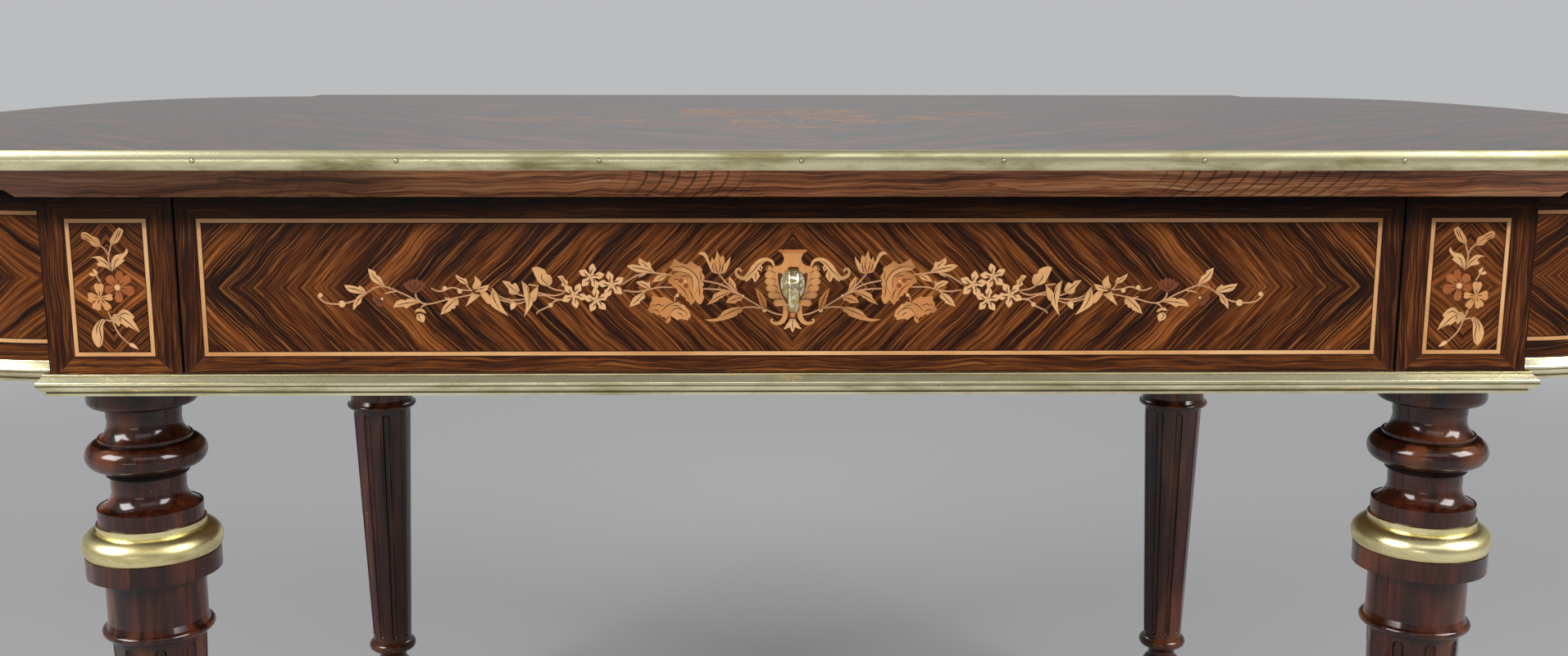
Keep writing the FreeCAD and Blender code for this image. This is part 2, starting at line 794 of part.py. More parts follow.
def make_drawer():
    front_back = -half_depth + drawer_front_thickness
    rear = -half_depth + drawer_length
    outer = opening - drawer_side_gap
    inner = outer - drawer_side_thickness
    side_top = frieze_bottom + drawer_side_height
    bottom_low = frieze_bottom + drawer_bottom_lift
    bottom_top = bottom_low + drawer_bottom_thickness
    back_top = side_top - drawer_back_drop
    back_front = rear - drawer_back_thickness
    bottom_half = inner + drawer_groove
    bottom = block((-bottom_half, bottom_half), (front_back - drawer_groove, rear), (bottom_low, bottom_top))
    front_tails = dovetails(frieze_bottom, side_top, front_back, dovetail_lap - drawer_front_thickness)
    back_tails = dovetails(bottom_top, back_top, back_front, drawer_back_thickness)
    side = block((inner, outer), (front_back, back_front), (frieze_bottom, side_top))
    heel = block((inner, outer), (back_front, rear), (frieze_bottom, bottom_top))
    side = side.multiFuse(front_tails + back_tails + [heel]).removeSplitter().cut(bottom)
    face = opening - drawer_reveal
    front = block(
        (-face, face),
        (-half_depth, front_back),
        (frieze_bottom + drawer_lift, frieze_top - drawer_reveal),
    )
    front = front.cut([bottom, side, mirrored(side, -1)])
    back = block((-outer, outer), (back_front, rear), (bottom_top, back_top))
    back = back.cut([side, mirrored(side, -1)])
    nodes["drawer_front"] = front
    nodes["drawer_side_left"] = mirrored(side, -1)
    nodes["drawer_side_right"] = side
    nodes["drawer_back"] = back
    nodes["drawer_bottom"] = bottom
    let_in("drawer_front", nodes["drawer_stringing"].Solids)


# Lock in the drawer front, its bolt, the key and the oval escutcheon

def keyhole(y_limits):
    """Hole for the shank, with a slot below it for the bit."""
    radius = key_shank_radius + keyhole_gap
    length = y_limits[1] - y_limits[0]
    hole = Part.makeCylinder(radius, length, point(0, y_limits[0], key_height), point(0, 1))
    half = key_bit_thickness / 2 + keyhole_gap
    slot = block((-half, half), y_limits, (key_height - key_bit_radius - keyhole_gap, key_height))
    return hole.fuse(slot)


def oval(width, height, y, thickness):
    """Oval plate standing on the frieze's face, seen from the front."""
    level = key_height + escutcheon_rise
    long_way = point(0, y, level + height / 2)
    cross_way = point(width / 2, y, level)
    curve = Part.Ellipse(long_way, cross_way, point(0, y, level))
    return Part.Face(Part.Wire(curve.toShape())).extrude(point(0, thickness))


def make_lock():
    back_y = -half_depth + drawer_front_thickness
    front_y = back_y - lock_depth
    top = frieze_top - drawer_reveal
    low = key_height - lock_drop
    half = lock_width / 2
    plate_y = back_y - lock_plate_thickness
    selvage = top - lock_plate_thickness
    plate_half = half + lock_flange
    plate = block((-plate_half, plate_half), (plate_y, back_y), (low, top))
    lip = block((-plate_half, plate_half), (front_y, back_y), (selvage, top))
    case = block((-half, half), (front_y, plate_y), (low, selvage))
    bed = plate.multiFuse([lip, case])
    hollow = block(
        (-half + lock_wall, half - lock_wall),
        (front_y + lock_wall, plate_y),
        (low + lock_wall, selvage),
    )
    bolt_y = (front_y + lock_wall + plate_y) / 2
    bolt_limits = (bolt_y - bolt_thickness / 2, bolt_y + bolt_thickness / 2)
    foot = key_height + key_shank_radius + bolt_gap
    bolt_top = top - bolt_gap
    bolt_half = bolt_width / 2
    bolt = block((-bolt_half, bolt_half), bolt_limits, (low + lock_wall, bolt_top))
    leg_inner = bolt_half - bolt_leg_width
    bolt = bolt.cut(block((-leg_inner, leg_inner), bolt_limits, (low, foot)))
    slot_limits = (bolt_limits[0] - bolt_gap, bolt_limits[1] + bolt_gap)
    slot = block((-bolt_half - bolt_gap, bolt_half + bolt_gap), slot_limits, (selvage, top))
    pin = Part.makeCylinder(
        drill_pin_radius, drill_pin_length, point(0, plate_y, key_height), point(0, -1)
    )
    hole = keyhole((front_y, front_y + lock_wall))
    case = bed.cut([hollow, slot, hole]).fuse(pin).removeSplitter()
    screw_x = half + lock_flange / 2
    screws = []
    for z in (low + lock_flange / 2, selvage - lock_flange):
        for sign in sides.values():
            place = point(sign * screw_x, back_y, z)
            screws.append(Part.makeCylinder(lock_screw_radius, lock_screw_length, place, point(0, -1)))
    nodes["lock_case"] = case.cut(screws)
    nodes["lock_screws"] = Part.makeCompound(screws)
    nodes["lock_bolt"] = bolt
    let_in("drawer_front", [bed, keyhole((-half_depth, front_y))] + screws)
    mortise = block(
        (-bolt_half - mortise_margin, bolt_half + mortise_margin),
        (bolt_limits[0] - mortise_margin, bolt_limits[1] + mortise_margin),
        (frieze_top, frieze_top + bolt_throw + mortise_margin),
    )
    let_in("top_panel", [mortise])
    let_in("top_lipping_front", [mortise])
    return plate_y, bolt_y


def make_key(plate_y, bolt_y):
    face = -half_depth
    tip = plate_y - bolt_gap
    bow_end = face - key_projection
    bow_start = bow_end + key_bow_length
    axis = point(0, -1)
    shank = Part.makeCylinder(key_shank_radius, tip - bow_start, point(0, tip, key_height), axis)
    collar_y = bow_start + 2 * key_collar_length
    collar = Part.makeCylinder(key_collar_radius, key_collar_length, point(0, collar_y, key_height), axis)
    half_bit = key_bit_thickness / 2
    bit = block(
        (-half_bit, half_bit),
        (bolt_y - key_bit_width / 2, bolt_y + key_bit_width / 2),
        (key_height - key_bit_radius, key_height),
    )
    middle = point(0, (bow_start + bow_end) / 2, key_height)
    half_bow = key_bow_thickness / 2

    def bow_oval(shrink):
        tall = point(0, middle.y, key_height + key_bow_height / 2 - shrink)
        deep = point(0, middle.y - key_bow_length / 2 + shrink, key_height)
        curve = Part.Ellipse(tall, deep, middle)
        face_plan = Part.Face(Part.Wire(curve.toShape()))
        face_plan.translate(point(-half_bow, 0))
        solid = face_plan.extrude(point(key_bow_thickness, 0))
        rims = [edge for edge in solid.Edges if edge.isClosed()]
        return solid if shrink else solid.makeFillet(key_bow_round, rims)

    bar_length = key_bow_length - key_bow_bar
    bar = Part.makeCylinder(key_bow_bar / 2, bar_length, point(0, bow_start, key_height), axis)
    ring = bow_oval(0).cut(bow_oval(key_bow_bar))
    key = shank.multiFuse([collar, bit, ring, bar])
    bore_radius = drill_pin_radius + pin_gap
    bore = Part.makeCylinder(bore_radius, drill_pin_length + pin_gap, point(0, tip, key_height), axis)
    nodes["key"] = key.cut(bore).removeSplitter()
    plate = oval(escutcheon_width, escutcheon_height, face, -escutcheon_thickness)
    inner = (escutcheon_width - 2 * escutcheon_rim, escutcheon_height - 2 * escutcheon_rim)
    sinking = oval(*inner, face - escutcheon_thickness, escutcheon_sinking)
    nodes["escutcheon"] = plate.cut([sinking, keyhole((face - escutcheon_thickness, face))])


make_top()
make_lower_brass()
make_blocks()
make_rails()
make_glue_blocks()
make_stringing()
make_legs()
make_drawer_bed()
make_drawer()
make_key(*make_lock())

os.makedirs("parts", exist_ok=True)
for name, shape in nodes.items():
    shape.exportStep("parts/" + name + ".step")
print(len(nodes), "nodes")
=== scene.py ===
import math

import bmesh
import bpy
from mathutils import Matrix, Vector


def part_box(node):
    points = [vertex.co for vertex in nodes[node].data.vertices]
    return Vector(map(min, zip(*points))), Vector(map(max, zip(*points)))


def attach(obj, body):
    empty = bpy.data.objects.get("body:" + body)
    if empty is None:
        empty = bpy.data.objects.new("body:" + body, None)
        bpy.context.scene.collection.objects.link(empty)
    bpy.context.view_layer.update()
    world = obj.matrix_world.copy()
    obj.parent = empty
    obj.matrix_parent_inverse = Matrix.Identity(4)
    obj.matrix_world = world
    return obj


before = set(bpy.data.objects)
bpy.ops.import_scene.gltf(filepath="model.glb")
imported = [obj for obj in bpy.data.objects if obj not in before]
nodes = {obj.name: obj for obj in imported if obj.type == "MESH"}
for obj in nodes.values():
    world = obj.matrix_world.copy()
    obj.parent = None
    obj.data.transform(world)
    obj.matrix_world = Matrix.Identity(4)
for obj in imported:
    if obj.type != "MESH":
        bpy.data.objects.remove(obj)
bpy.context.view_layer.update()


# Legs. Rosewood turned in two lengths, fluted below, and varnished to a high gloss.
# The grain runs up the leg, so a turning shows its dark streaks as long upright figures.

class Port:
    """A socket of a node tree. Arithmetic on ports adds Math nodes to their tree."""

    def __init__(self, tree, socket=None):
        self.tree = tree
        self.socket = socket

    def node(self, kind, settings, values, output=0):
        made = self.tree.nodes.new(kind)
        for name, setting in settings.items():
            if name == "stops":
                first, last = made.color_ramp.elements
                first.position, first.color = setting[0]
                last.position, last.color = setting[-1]
                for place, colour in setting[1:-1]:
                    made.color_ramp.elements.new(place).color = colour
            else:
                setattr(made, name, setting)
        for name, value in values.items():
            if isinstance(value, Port):
                self.tree.links.new(value.socket, made.inputs[name])
            else:
                made.inputs[name].default_value = value
        return Port(self.tree, made.outputs[output])

    def maths(self, operation, *values):
        return self.node("ShaderNodeMath", {"operation": operation}, dict(enumerate(values)))

    def __add__(self, other):
        return self.maths("ADD", self, other)

    __radd__ = __add__

    def __sub__(self, other):
        return self.maths("SUBTRACT", self, other)

    def __rsub__(self, other):
        return self.maths("SUBTRACT", other, self)

    def __mul__(self, other):
        return self.maths("MULTIPLY", self, other)

    __rmul__ = __mul__

    def __abs__(self):
        return self.maths("ABSOLUTE", self)

    def larger(self, other):
        return self.maths("MAXIMUM", self, other)

    def rise(self, low, high):
        """0 below low, 1 above high, and a smooth step between them."""
        values = {"Value": self, "From Min": low, "From Max": high}
        return self.node("ShaderNodeMapRange", {"interpolation_type": "SMOOTHSTEP"}, values)

    def towards(self, other, share):
        """From this value to another by a share between 0 and 1."""
        return self + (other - self) * share

    def parts(self):
        split = self.node("ShaderNodeSeparateXYZ", {}, {"Vector": self})
        return [Port(self.tree, socket) for socket in split.socket.node.outputs]

    def ramp(self, stops):
        return self.node("ShaderNodeValToRGB", {"stops": stops}, {"Fac": self})

    def tint(self, first, second):
        """Mix two colours by this share."""
        return self.node("ShaderNodeMix", {"data_type": "RGBA"}, {0: self, 6: first, 7: second}, 2)


def ink(red, green, blue):
    """A colour written as it shows on a screen, 0 to 255, for a shader's socket."""
    linear = []
    for level in (red, green, blue):
        share = level / 255
        linear.append(share / 12.92 if share <= 0.04045 else ((share + 0.055) / 1.055) ** 2.4)
    return (*linear, 1.0)


def new_finish(name):
    """A material, and the metres along X, Y and Z from its Object coordinates."""
    material = bpy.data.materials.new(name)
    material.use_nodes = True
    coordinates = Port(material.node_tree).node("ShaderNodeTexCoord", {}, {}, "Object")
    return material, coordinates.parts()


def dress(material, **looks):
    """Set or link the surface's own sockets."""
    shader = material.node_tree.nodes["Principled BSDF"]
    for name, value in looks.items():
        socket = shader.inputs[name.replace("_", " ").title().replace("Ior", "IOR")]
        if isinstance(value, Port):
            material.node_tree.links.new(value.socket, socket)
        else:
            socket.default_value = value


def put_on(material, *starts):
    """Give a finish to the CAD nodes whose names start so."""
    for name, piece in nodes.items():
        if name.startswith(starts):
            for slot in piece.material_slots:
                slot.material = material


def speckle(along, across, depth, detail=3.0, roughness=0.55, distortion=0.0):
    """Noise between 0 and 1 over three scaled distances."""
    place = along.node("ShaderNodeCombineXYZ", {}, {"X": along, "Y": across, "Z": depth})
    values = {
        "Vector": place,
        "Scale": 1.0,
        "Detail": detail,
        "Roughness": roughness,
        "Distortion": distortion,
    }
    return along.node("ShaderNodeTexNoise", {}, values)


def even_speckle(place, scale, detail=2.0, roughness=0.55):
    """The same noise, as fine in every direction."""
    return speckle(*[distance * scale for distance in place], detail, roughness)


def groove(level, start, full, fade, end):
    """1 inside a groove and 0 outside it, with soft sides, over a level in metres."""
    return level.rise(start, full) - level.rise(fade, end)


def ripple(height, strength, distance):
    """A Bump node that turns a height into a surface normal."""
    values = {"Height": height, "Strength": strength, "Distance": distance}
    return height.node("ShaderNodeBump", {}, values)


def rosewood(along, across, depth, shades, figure_scale, streak_scale, ring=0.55, gold=0.0):
    """Colour of rosewood and its open grain, from metres along, across and into the grain."""
    sway_width, kink_width = 0.014, 0.006
    sway = even_speckle((along, across, depth), 9.0, 2.0, 0.5) - 0.5
    kink = speckle(along * 26.0, across * 20.0, depth * 20.0, 1.0, 0.5) - 0.5
    path = across + sway * sway_width + kink * kink_width
    figure = speckle(along * 5.0, path * figure_scale, depth * figure_scale, 2.0, 0.5)
    streak = speckle(along * 14.0, path * streak_scale, depth * streak_scale, 4.0, 0.7)
    flecks = speckle(along * 20.0, path * streak_scale * 2.0, depth * streak_scale, 2.0).rise(0.54, 0.70)
    open_grain = speckle(along * 70.0, across * 1500.0, depth * 1500.0, 1.0).rise(0.60, 0.72)
    ring_line = 1.0 - figure.maths("PINGPONG", figure * 9.0, 0.5).rise(0.02, 0.15)
    colour = (figure * 0.45 + streak * 0.55).ramp(shades)
    colour = (flecks * gold).tint(colour, shades[-1][1])
    return (ring_line * ring + open_grain * 0.2).tint(colour, ink(26, 12, 8)), open_grain, figure


leg_shades = [
    (0.32, ink(22, 7, 3)),
    (0.46, ink(46, 17, 8)),
    (0.58, ink(74, 31, 16)),
    (0.74, ink(114, 56, 30)),
]
leg_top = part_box("frieze_brass_front")[0].z
# Depths under the leg's top at which the soiling and painted shade in each groove start, are full, fade and
# end
cap_groove = (0.0152, 0.0160, 0.0166, 0.0180)
ring_groove = (0.0410, 0.0415, 0.0422, 0.0430)
torus_groove = (0.0606, 0.0616, 0.0666, 0.0680)
leg_finish, (x, y, z) = new_finish("turned_rosewood")
colour, open_grain, figure = rosewood(z, x, y, leg_shades, 36.0, 190.0, 0.2)
chips = even_speckle((x, y, z), 240.0, 2.0, 0.5).rise(0.775, 0.79)
depth = leg_top - z
# Soiling and painted shade in the turning's grooves: darker colour and less gloss there
soil_and_shade = groove(depth, *cap_groove) + groove(depth, *ring_groove) + groove(depth, *torus_groove)
sapwood = speckle(z * 6.0, x * 26.0, y * 26.0, 2.0, 0.5, 0.4).rise(0.50, 0.66)
dark_heart = speckle(z * 3.0 + 0.6, x * 60.0, y * 60.0, 2.0, 0.5).rise(0.60, 0.66)
colour = (sapwood * 0.4).tint(colour, ink(140, 80, 46))
colour = (dark_heart * 0.75).tint(colour, ink(18, 7, 4))
colour = (chips * 0.7).tint(colour, ink(196, 146, 104))
dress(
    leg_finish,
    base_color=(soil_and_shade * 0.8).tint(colour, ink(13, 5, 3)),
    roughness=0.30 + figure * 0.14,
    specular_ior_level=0.05,
    coat_weight=0.9 - soil_and_shade * 0.8,
    coat_roughness=0.13,
    normal=ripple(open_grain, 0.08, 0.0002),
)
put_on(leg_finish, "leg_turning", "leg_column")


# Brass. Drawn and cast mouldings, polished once and now worn: pale in places, greener and duller
# in others, with old polish and painted shade dark in the hollows and fine lines drawn along each length.

def brass(name, bright, dull, gloss, wear_scale, quirks=()):
    """Worn brass, dark with old polish and painted shade between each pair of heights in quirks."""
    quirk_inner, quirk_outer = 0.0002, 0.0003
    material, (x, y, z) = new_finish(name)
    patches = speckle(x * wear_scale, y * wear_scale, z * wear_scale * 4.0, 5.0, 0.65, 0.3)
    drawn_lines = speckle(x * 6.0, y * 6.0, z * 2600.0, 2.0)
    tarnish = (patches * 0.8 + drawn_lines * 0.2).rise(0.40, 0.70)
    pits = even_speckle((x, y, z), 420.0, 2.0, 0.7).rise(0.66, 0.78)
    colour = (pits * 0.45).tint(tarnish.tint(bright, dull), ink(84, 72, 42))
    # Old polish and painted shade darken each quirk
    for low, high in quirks:
        soil_and_shade = groove(z, low - quirk_outer, low + quirk_inner, high - quirk_inner, high + quirk_outer)
        colour = (soil_and_shade * 0.8).tint(colour, ink(70, 56, 26))
    dress(
        material,
        base_color=colour,
        metallic=1.0,
        roughness=gloss + tarnish * 0.16 + drawn_lines * 0.07 + pits * 0.15,
        normal=ripple(patches * 0.3 + drawn_lines * 0.7, 0.06, 0.0003),
    )
    return material


moulded_brass = brass("moulded_brass", ink(232, 224, 182), ink(150, 141, 95), 0.23, 16.0)
put_on(moulded_brass, "top_brass")
put_on(brass("collar_brass", ink(246, 234, 178), ink(196, 178, 118), 0.23, 24.0), "leg_collar")
brass_low, brass_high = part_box("frieze_brass_front")
under_nose = (brass_high.z - 0.0081, brass_high.z - 0.0071)
hollow = (brass_low.z + 0.0018, brass_low.z + 0.0034)
# Paler colours than the band's brass: partly painted light, brightening the frieze moulding
low_brass_with_painted_light = brass("frieze_brass", ink(252, 243, 202), ink(188, 178, 130), 0.13, 16.0, (under_nose, hollow))
put_on(low_brass_with_painted_light, "frieze_brass")


# Carcass. Pine rails, runners, guides, kickers and glue blocks that nobody sees, left from the
# saw and plane and darkened by age. Each runs with its own grain.

def plain_timber(name, shades, direction, scale):
    """Bare straight-grained timber with its grain along one axis: 0, 1 or 2."""
    material, axes = new_finish(name)
    along = axes.pop(direction)
    rings = speckle(along * 2.0, axes[0] * scale, axes[1] * scale, 3.0, 0.55, 0.6)
    fibre = speckle(along * 14.0, axes[0] * 900.0, axes[1] * 900.0, 2.0)
    dress(
        material,
        base_color=(rings * 0.75 + fibre * 0.25).ramp(shades),
        roughness=0.62 + fibre * 0.2,
        normal=ripple(fibre, 0.25, 0.0004),
    )
    return material


pine_shades = [
    (0.32, ink(112, 74, 42)),
    (0.50, ink(158, 113, 70)),
    (0.68, ink(188, 146, 98)),
]
long_pine = plain_timber("pine_along_table", pine_shades, 0, 60.0)
deep_pine = plain_timber("pine_across_table", pine_shades, 1, 60.0)
put_on(long_pine, "drawer_rail", "glue_blocks", "drawer_stops")
put_on(deep_pine, "drawer_runner", "drawer_guide", "drawer_kicker")


# Frieze. Rosewood veneer on the drawer front, corner blocks, back rail and curved ends. Inside the
# boxwood frame four matched leaves meet as diamonds, and outside it a darker straight band is
# mitred round. In plan a curved end is one long arc, its crown, with a quick arc at each shoulder.

block_low, block_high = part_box("corner_block_front_right")
block_x = (block_low.x + block_high.x) / 2
frieze_face = -block_low.y
string_low, string_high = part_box("drawer_stringing")
string_middle = (string_low.z + string_high.z) / 2
string_rise = (string_high.z - string_low.z) / 2
string_width = 0.003
block_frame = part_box("block_stringing")[1].x - block_x
block_half = (block_high.x - block_low.x) / 2
drawer_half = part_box("drawer_front")[1].x
end_frame = 0.437
no_gap = 2.0
crown_x, crown_radius = -0.206, 0.9
shoulder_x, shoulder_y, shoulder_radius = 0.5189, 0.2, 0.148
shoulder_start = 0.6617
join_angle = 15.4
diagonal = math.sqrt(0.5)
glue_half, glue_soft = 0.0019, 0.0003
# Distances from a side gap, and heights above the foot, at which the painted shade is full and ends
gap_shade_full, gap_shade_end = 0.0004, 0.0012
foot_shade_full, foot_shade_end = 0.0006, 0.0018
# Heights at which the painted shade under the top's overhang starts and is full
shadow_start, shadow_full = string_high.z - 0.014, string_high.z + 0.003
veneer_shades = [
    (0.35, ink(16, 5, 2)),
    (0.43, ink(40, 15, 4)),
    (0.50, ink(80, 37, 11)),
    (0.57, ink(126, 68, 27)),
    (0.66, ink(188, 116, 54)),
]


def matched_veneer(name, half_width, reach, distance_along, leaf_step, core):
    """Four matched leaves inside the stringing, a mitred band outside it, and the bare core behind.

    Under the overhang of the top, painted shade darkens the colour and lowers the gloss, and painted
    shade also darkens the edge that stands in a gap: at the foot, and at the reach given. The leaf step,
    across X and across Y, keeps the leaves of one face from being those of another.
    """
    shade_dark = ink(12, 6, 4)
    material, (x, y, z) = new_finish(name)
    run = distance_along(x, y)
    height = z - string_middle
    lift = abs(height)
    past_side = run - half_width
    past_edge = lift - string_rise
    past_frame = past_side.larger(past_edge)
    banding = past_frame.rise(-0.0016, -0.0014)
    upright = (past_side - past_edge).rise(-0.0002, 0.0002)
    along = ((run - lift) * diagonal).towards(run.towards(height, upright), banding)
    across = ((run + lift) * diagonal).towards(height.towards(run, upright), banding)
    mark = x.maths("SIGN", x) * leaf_step[0] + y.maths("SIGN", y) * leaf_step[1]
    colour, open_grain, figure = rosewood(along, across, mark, veneer_shades, 75.0, 480.0, 0.55, 0.5)
    colour = (banding * 0.4).tint(colour, ink(46, 22, 12))
    glue_line = 1.0 - (abs(past_frame + string_width / 2) - glue_half).rise(0.0, glue_soft)
    colour = (glue_line * 0.8).tint(colour, ink(26, 13, 9))
    # Painted shade under the overhang of the top: darker colour and less gloss
    overhang_shade = z.rise(shadow_start, shadow_full)
    colour = (overhang_shade * 0.8).tint(colour, shade_dark)
    # Painted shade beside the gaps at the side of the drawer or a block, and at the foot
    side_gap_shade = (run - reach).rise(-gap_shade_end, -gap_shade_full)
    foot_gap_shade = 1.0 - z.rise(block_low.z + foot_shade_full, block_low.z + foot_shade_end)
    colour = (side_gap_shade.larger(foot_gap_shade) * 0.85).tint(colour, shade_dark)
    bare = core(x, y)
    raw = speckle(x * 30.0, y * 30.0, z * 400.0, 3.0, 0.6).ramp(pine_shades)
    dress(
        material,
        base_color=bare.tint(colour, raw),
        roughness=(0.36 + figure * 0.14).towards(0.7, bare),
        specular_ior_level=0.05,
        coat_weight=(0.22 - overhang_shade * 0.16) * (1.0 - bare),
        coat_roughness=0.12,
        normal=ripple(open_grain, 0.12, 0.0002),
    )
    return material


def from_block(x, y):
    """Distance from the middle of a corner block."""
    return abs(abs(x) - block_x)


def from_middle(x, y):
    """Distance from the middle of the table."""
    return abs(x)


def from_crown(x, y):
    """Distance round a curved end from its crown, close enough for a veneer's grain."""
    return abs(y) + (shoulder_start - abs(x)).larger(0.0) * 0.6


def block_core(x, y):
    """Bare wood on the faces that look into the table."""
    veneered_depth = 0.093
    inner_face = frieze_face - veneered_depth
    return 1.0 - (abs(y) - inner_face).rise(0.0, 0.0004)


def long_core(x, y):
    """Bare wood behind the veneer of a long side."""
    skin, soft_edge = 0.002, 0.001
    return 1.0 - abs(y).rise(frieze_face - skin - soft_edge, frieze_face - skin)


def behind_arc(reach, side, radius):
    """1 deeper than the veneered skin of an arc, by the distance from the arc's centre."""
    skin, soft_edge = 0.012, 0.002
    return 1.0 - (reach * reach + side * side).rise((radius - skin - soft_edge) ** 2, (radius - skin) ** 2)


def end_core(x, y):
    """Bare wood on the hollow side of a curved end: behind its crown, and past the join behind a shoulder."""
    join_y = crown_radius * math.sin(math.radians(join_angle))
    behind_crown = behind_arc(abs(x) - crown_x, y, crown_radius)
    behind_shoulder = behind_arc(abs(x) - shoulder_x, abs(y) - shoulder_y, shoulder_radius)
    blend = 0.003
    return behind_crown.towards(behind_shoulder, abs(y).rise(join_y - blend, join_y + blend))


block_veneer = matched_veneer("block_veneer", block_frame, block_half, from_block, (0.13, 0.29), block_core)
put_on(block_veneer, "corner_block")
long_veneer = matched_veneer("long_veneer", string_high.x, drawer_half, from_middle, (0.0, 0.47), long_core)
put_on(long_veneer, "back_rail", "drawer_front")
end_veneer = matched_veneer("end_veneer", end_frame, no_gap, from_crown, (0.71, 0.0), end_core)
put_on(end_veneer, "end_rail")


# Stringing. Boxwood strips three millimetres wide, let into the veneer and mitred at the corners,
# yellowed by the polish, and browned by painted shade under the overhang of the top.

clean_half = 0.0011
age_shades = [
    (0.35, ink(194, 130, 76)),
    (0.50, ink(218, 160, 104)),
    (0.65, ink(234, 182, 126)),
]


def boxwood(name, half_width, distance_along):
    """A frame's string, dark with old glue where it meets the veneer."""
    material, (x, y, z) = new_finish(name)
    age = speckle(x * 9.0, y * 9.0, z * 14.0, 3.0, 0.6)
    fibre = even_speckle((x, y, z), 500.0)
    past_side = distance_along(x, y) - half_width
    past_edge = abs(z - string_middle) - string_rise
    glue_line = abs(past_side.larger(past_edge) + string_width / 2).rise(clean_half, clean_half + glue_soft)
    # Painted shade browning the string under the overhang of the top
    overhang_shade = z.rise(string_high.z - 0.009, string_high.z - 0.002)
    colour = (overhang_shade * 0.65).tint((age * 0.8 + fibre * 0.2).ramp(age_shades), ink(78, 40, 14))
    dress(
        material,
        base_color=(glue_line * 0.8).tint(colour, ink(64, 32, 18)),
        roughness=0.36 + fibre * 0.14,
        specular_ior_level=0.05,
        coat_weight=0.5,
        coat_roughness=0.12,
    )
    return material


put_on(boxwood("long_string", string_high.x, from_middle), "drawer_stringing", "back_stringing")
put_on(boxwood("block_string", block_frame, from_block), "block_stringing")
put_on(boxwood("end_string", end_frame, from_crown), "end_stringing")


# Drawer. Oak sides, back and bottom with half-blind dovetails, behind a veneered front.
# The lock is let into the back of the front, and steel screws hold it and the top.

oak_shades = [
    (0.32, ink(126, 86, 48)),
    (0.50, ink(168, 124, 76)),
    (0.68, ink(196, 155, 103)),
]
side_oak = plain_timber("oak_along_sides", oak_shades, 1, 110.0)
cross_oak = plain_timber("oak_across_drawer", oak_shades, 0, 110.0)
put_on(side_oak, "drawer_side")
put_on(cross_oak, "drawer_back", "drawer_bottom")
lock_brass = brass("lock_brass", ink(196, 168, 100), ink(138, 112, 62), 0.38, 30.0)
put_on(lock_brass, "lock_case", "lock_bolt")
key_brass, place = new_finish("key_brass")
chasing = even_speckle(place, 210.0, 2.0, 0.5)
rubbed = chasing.rise(0.42, 0.60)
dress(
    key_brass,
    base_color=rubbed.tint(ink(206, 182, 120), ink(255, 246, 216)),
    metallic=1.0,
    roughness=0.20 - rubbed * 0.10,
    normal=ripple(chasing, 0.55, 0.0012),
)
put_on(key_brass, "key", "escutcheon")
steel, place = new_finish("screw_steel")
rust = even_speckle(place, 300.0, 4.0, 0.7)
dress(
    steel,
    base_color=rust.rise(0.5, 0.75).tint(ink(150, 148, 144), ink(98, 78, 62)),
    metallic=0.9,
    roughness=0.34 + rust * 0.3,
)
put_on(steel, "top_screws", "lock_screws")


# Marquetry of the drawer front. Leaves, petals and scrolls sawn from box, sycamore and dyed pear,
# scorched in hot sand for their shading, with dark saw lines for veins. Drawn in millimetres
# from the middle of the spray. The back rail has the same.

def smooth_line(points, closed=False, steps=6):
    """An even curve through a few drawn points."""
    drawn = [Vector(point) for point in points]
    count = len(drawn)
    curve = []
    for first in range(count if closed else count - 1):
        ring = [first - 1, first, first + 1, first + 2]
        if closed:
            a, b, c, d = [drawn[number % count] for number in ring]
        else:
            a, b, c, d = [drawn[min(max(number, 0), count - 1)] for number in ring]
        for step in range(steps):
            t = step / steps
            bend = (2 * a - 5 * b + 4 * c - d) * t * t + (3 * b - a - 3 * c + d) * t ** 3
            curve.append((2 * b + (c - a) * t + bend) / 2)
    if not closed:
        curve.append(drawn[-1])
    return curve


def sawn(outline, tone, start, end, line=False):
    """One sawn piece: its outline, its wood, its grain from start to end, and whether it is a saw line."""
    return [(outline, tone, Vector(start), Vector(end), line)]


def strip(points, widths, tone, line=False, steps=6):
    """A band of changing width along a curve: a stem, a scroll or a saw line."""
    spine = smooth_line(points, False, steps)
    left, right = [], []
    for number, here in enumerate(spine):
        ahead = spine[min(number + 1, len(spine) - 1)] - spine[max(number - 1, 0)]
        side = Vector((-ahead.y, ahead.x)).normalized()
        share = number / (len(spine) - 1) * (len(widths) - 1)
        low = min(int(share), len(widths) - 2)
        width = widths[low] + (widths[low + 1] - widths[low]) * (share - low)
        left.append(here + side * width / 2)
        right.append(here - side * width / 2)
    return sawn(right + left[::-1], tone, spine[0], spine[-1], line)


def stem(*points):
    """A stalk, a little thinner at its end."""
    return strip(points, [1.15, 0.85], 0.0)


def vein(*points):
    """A saw line, widest in the middle."""
    return strip(points, [0.25, 0.68, 0.2], 0.0, True, 4)


def ball(middle, radius, tone):
    """A berry, or the round end of a scroll."""
    sides = 14
    ring = []
    for step in range(sides):
        turn = math.tau * step / sides
        ring.append(Vector(middle) + Vector((math.cos(turn), math.sin(turn))) * radius)
    return sawn(ring, tone, ring[sides // 2], ring[0])


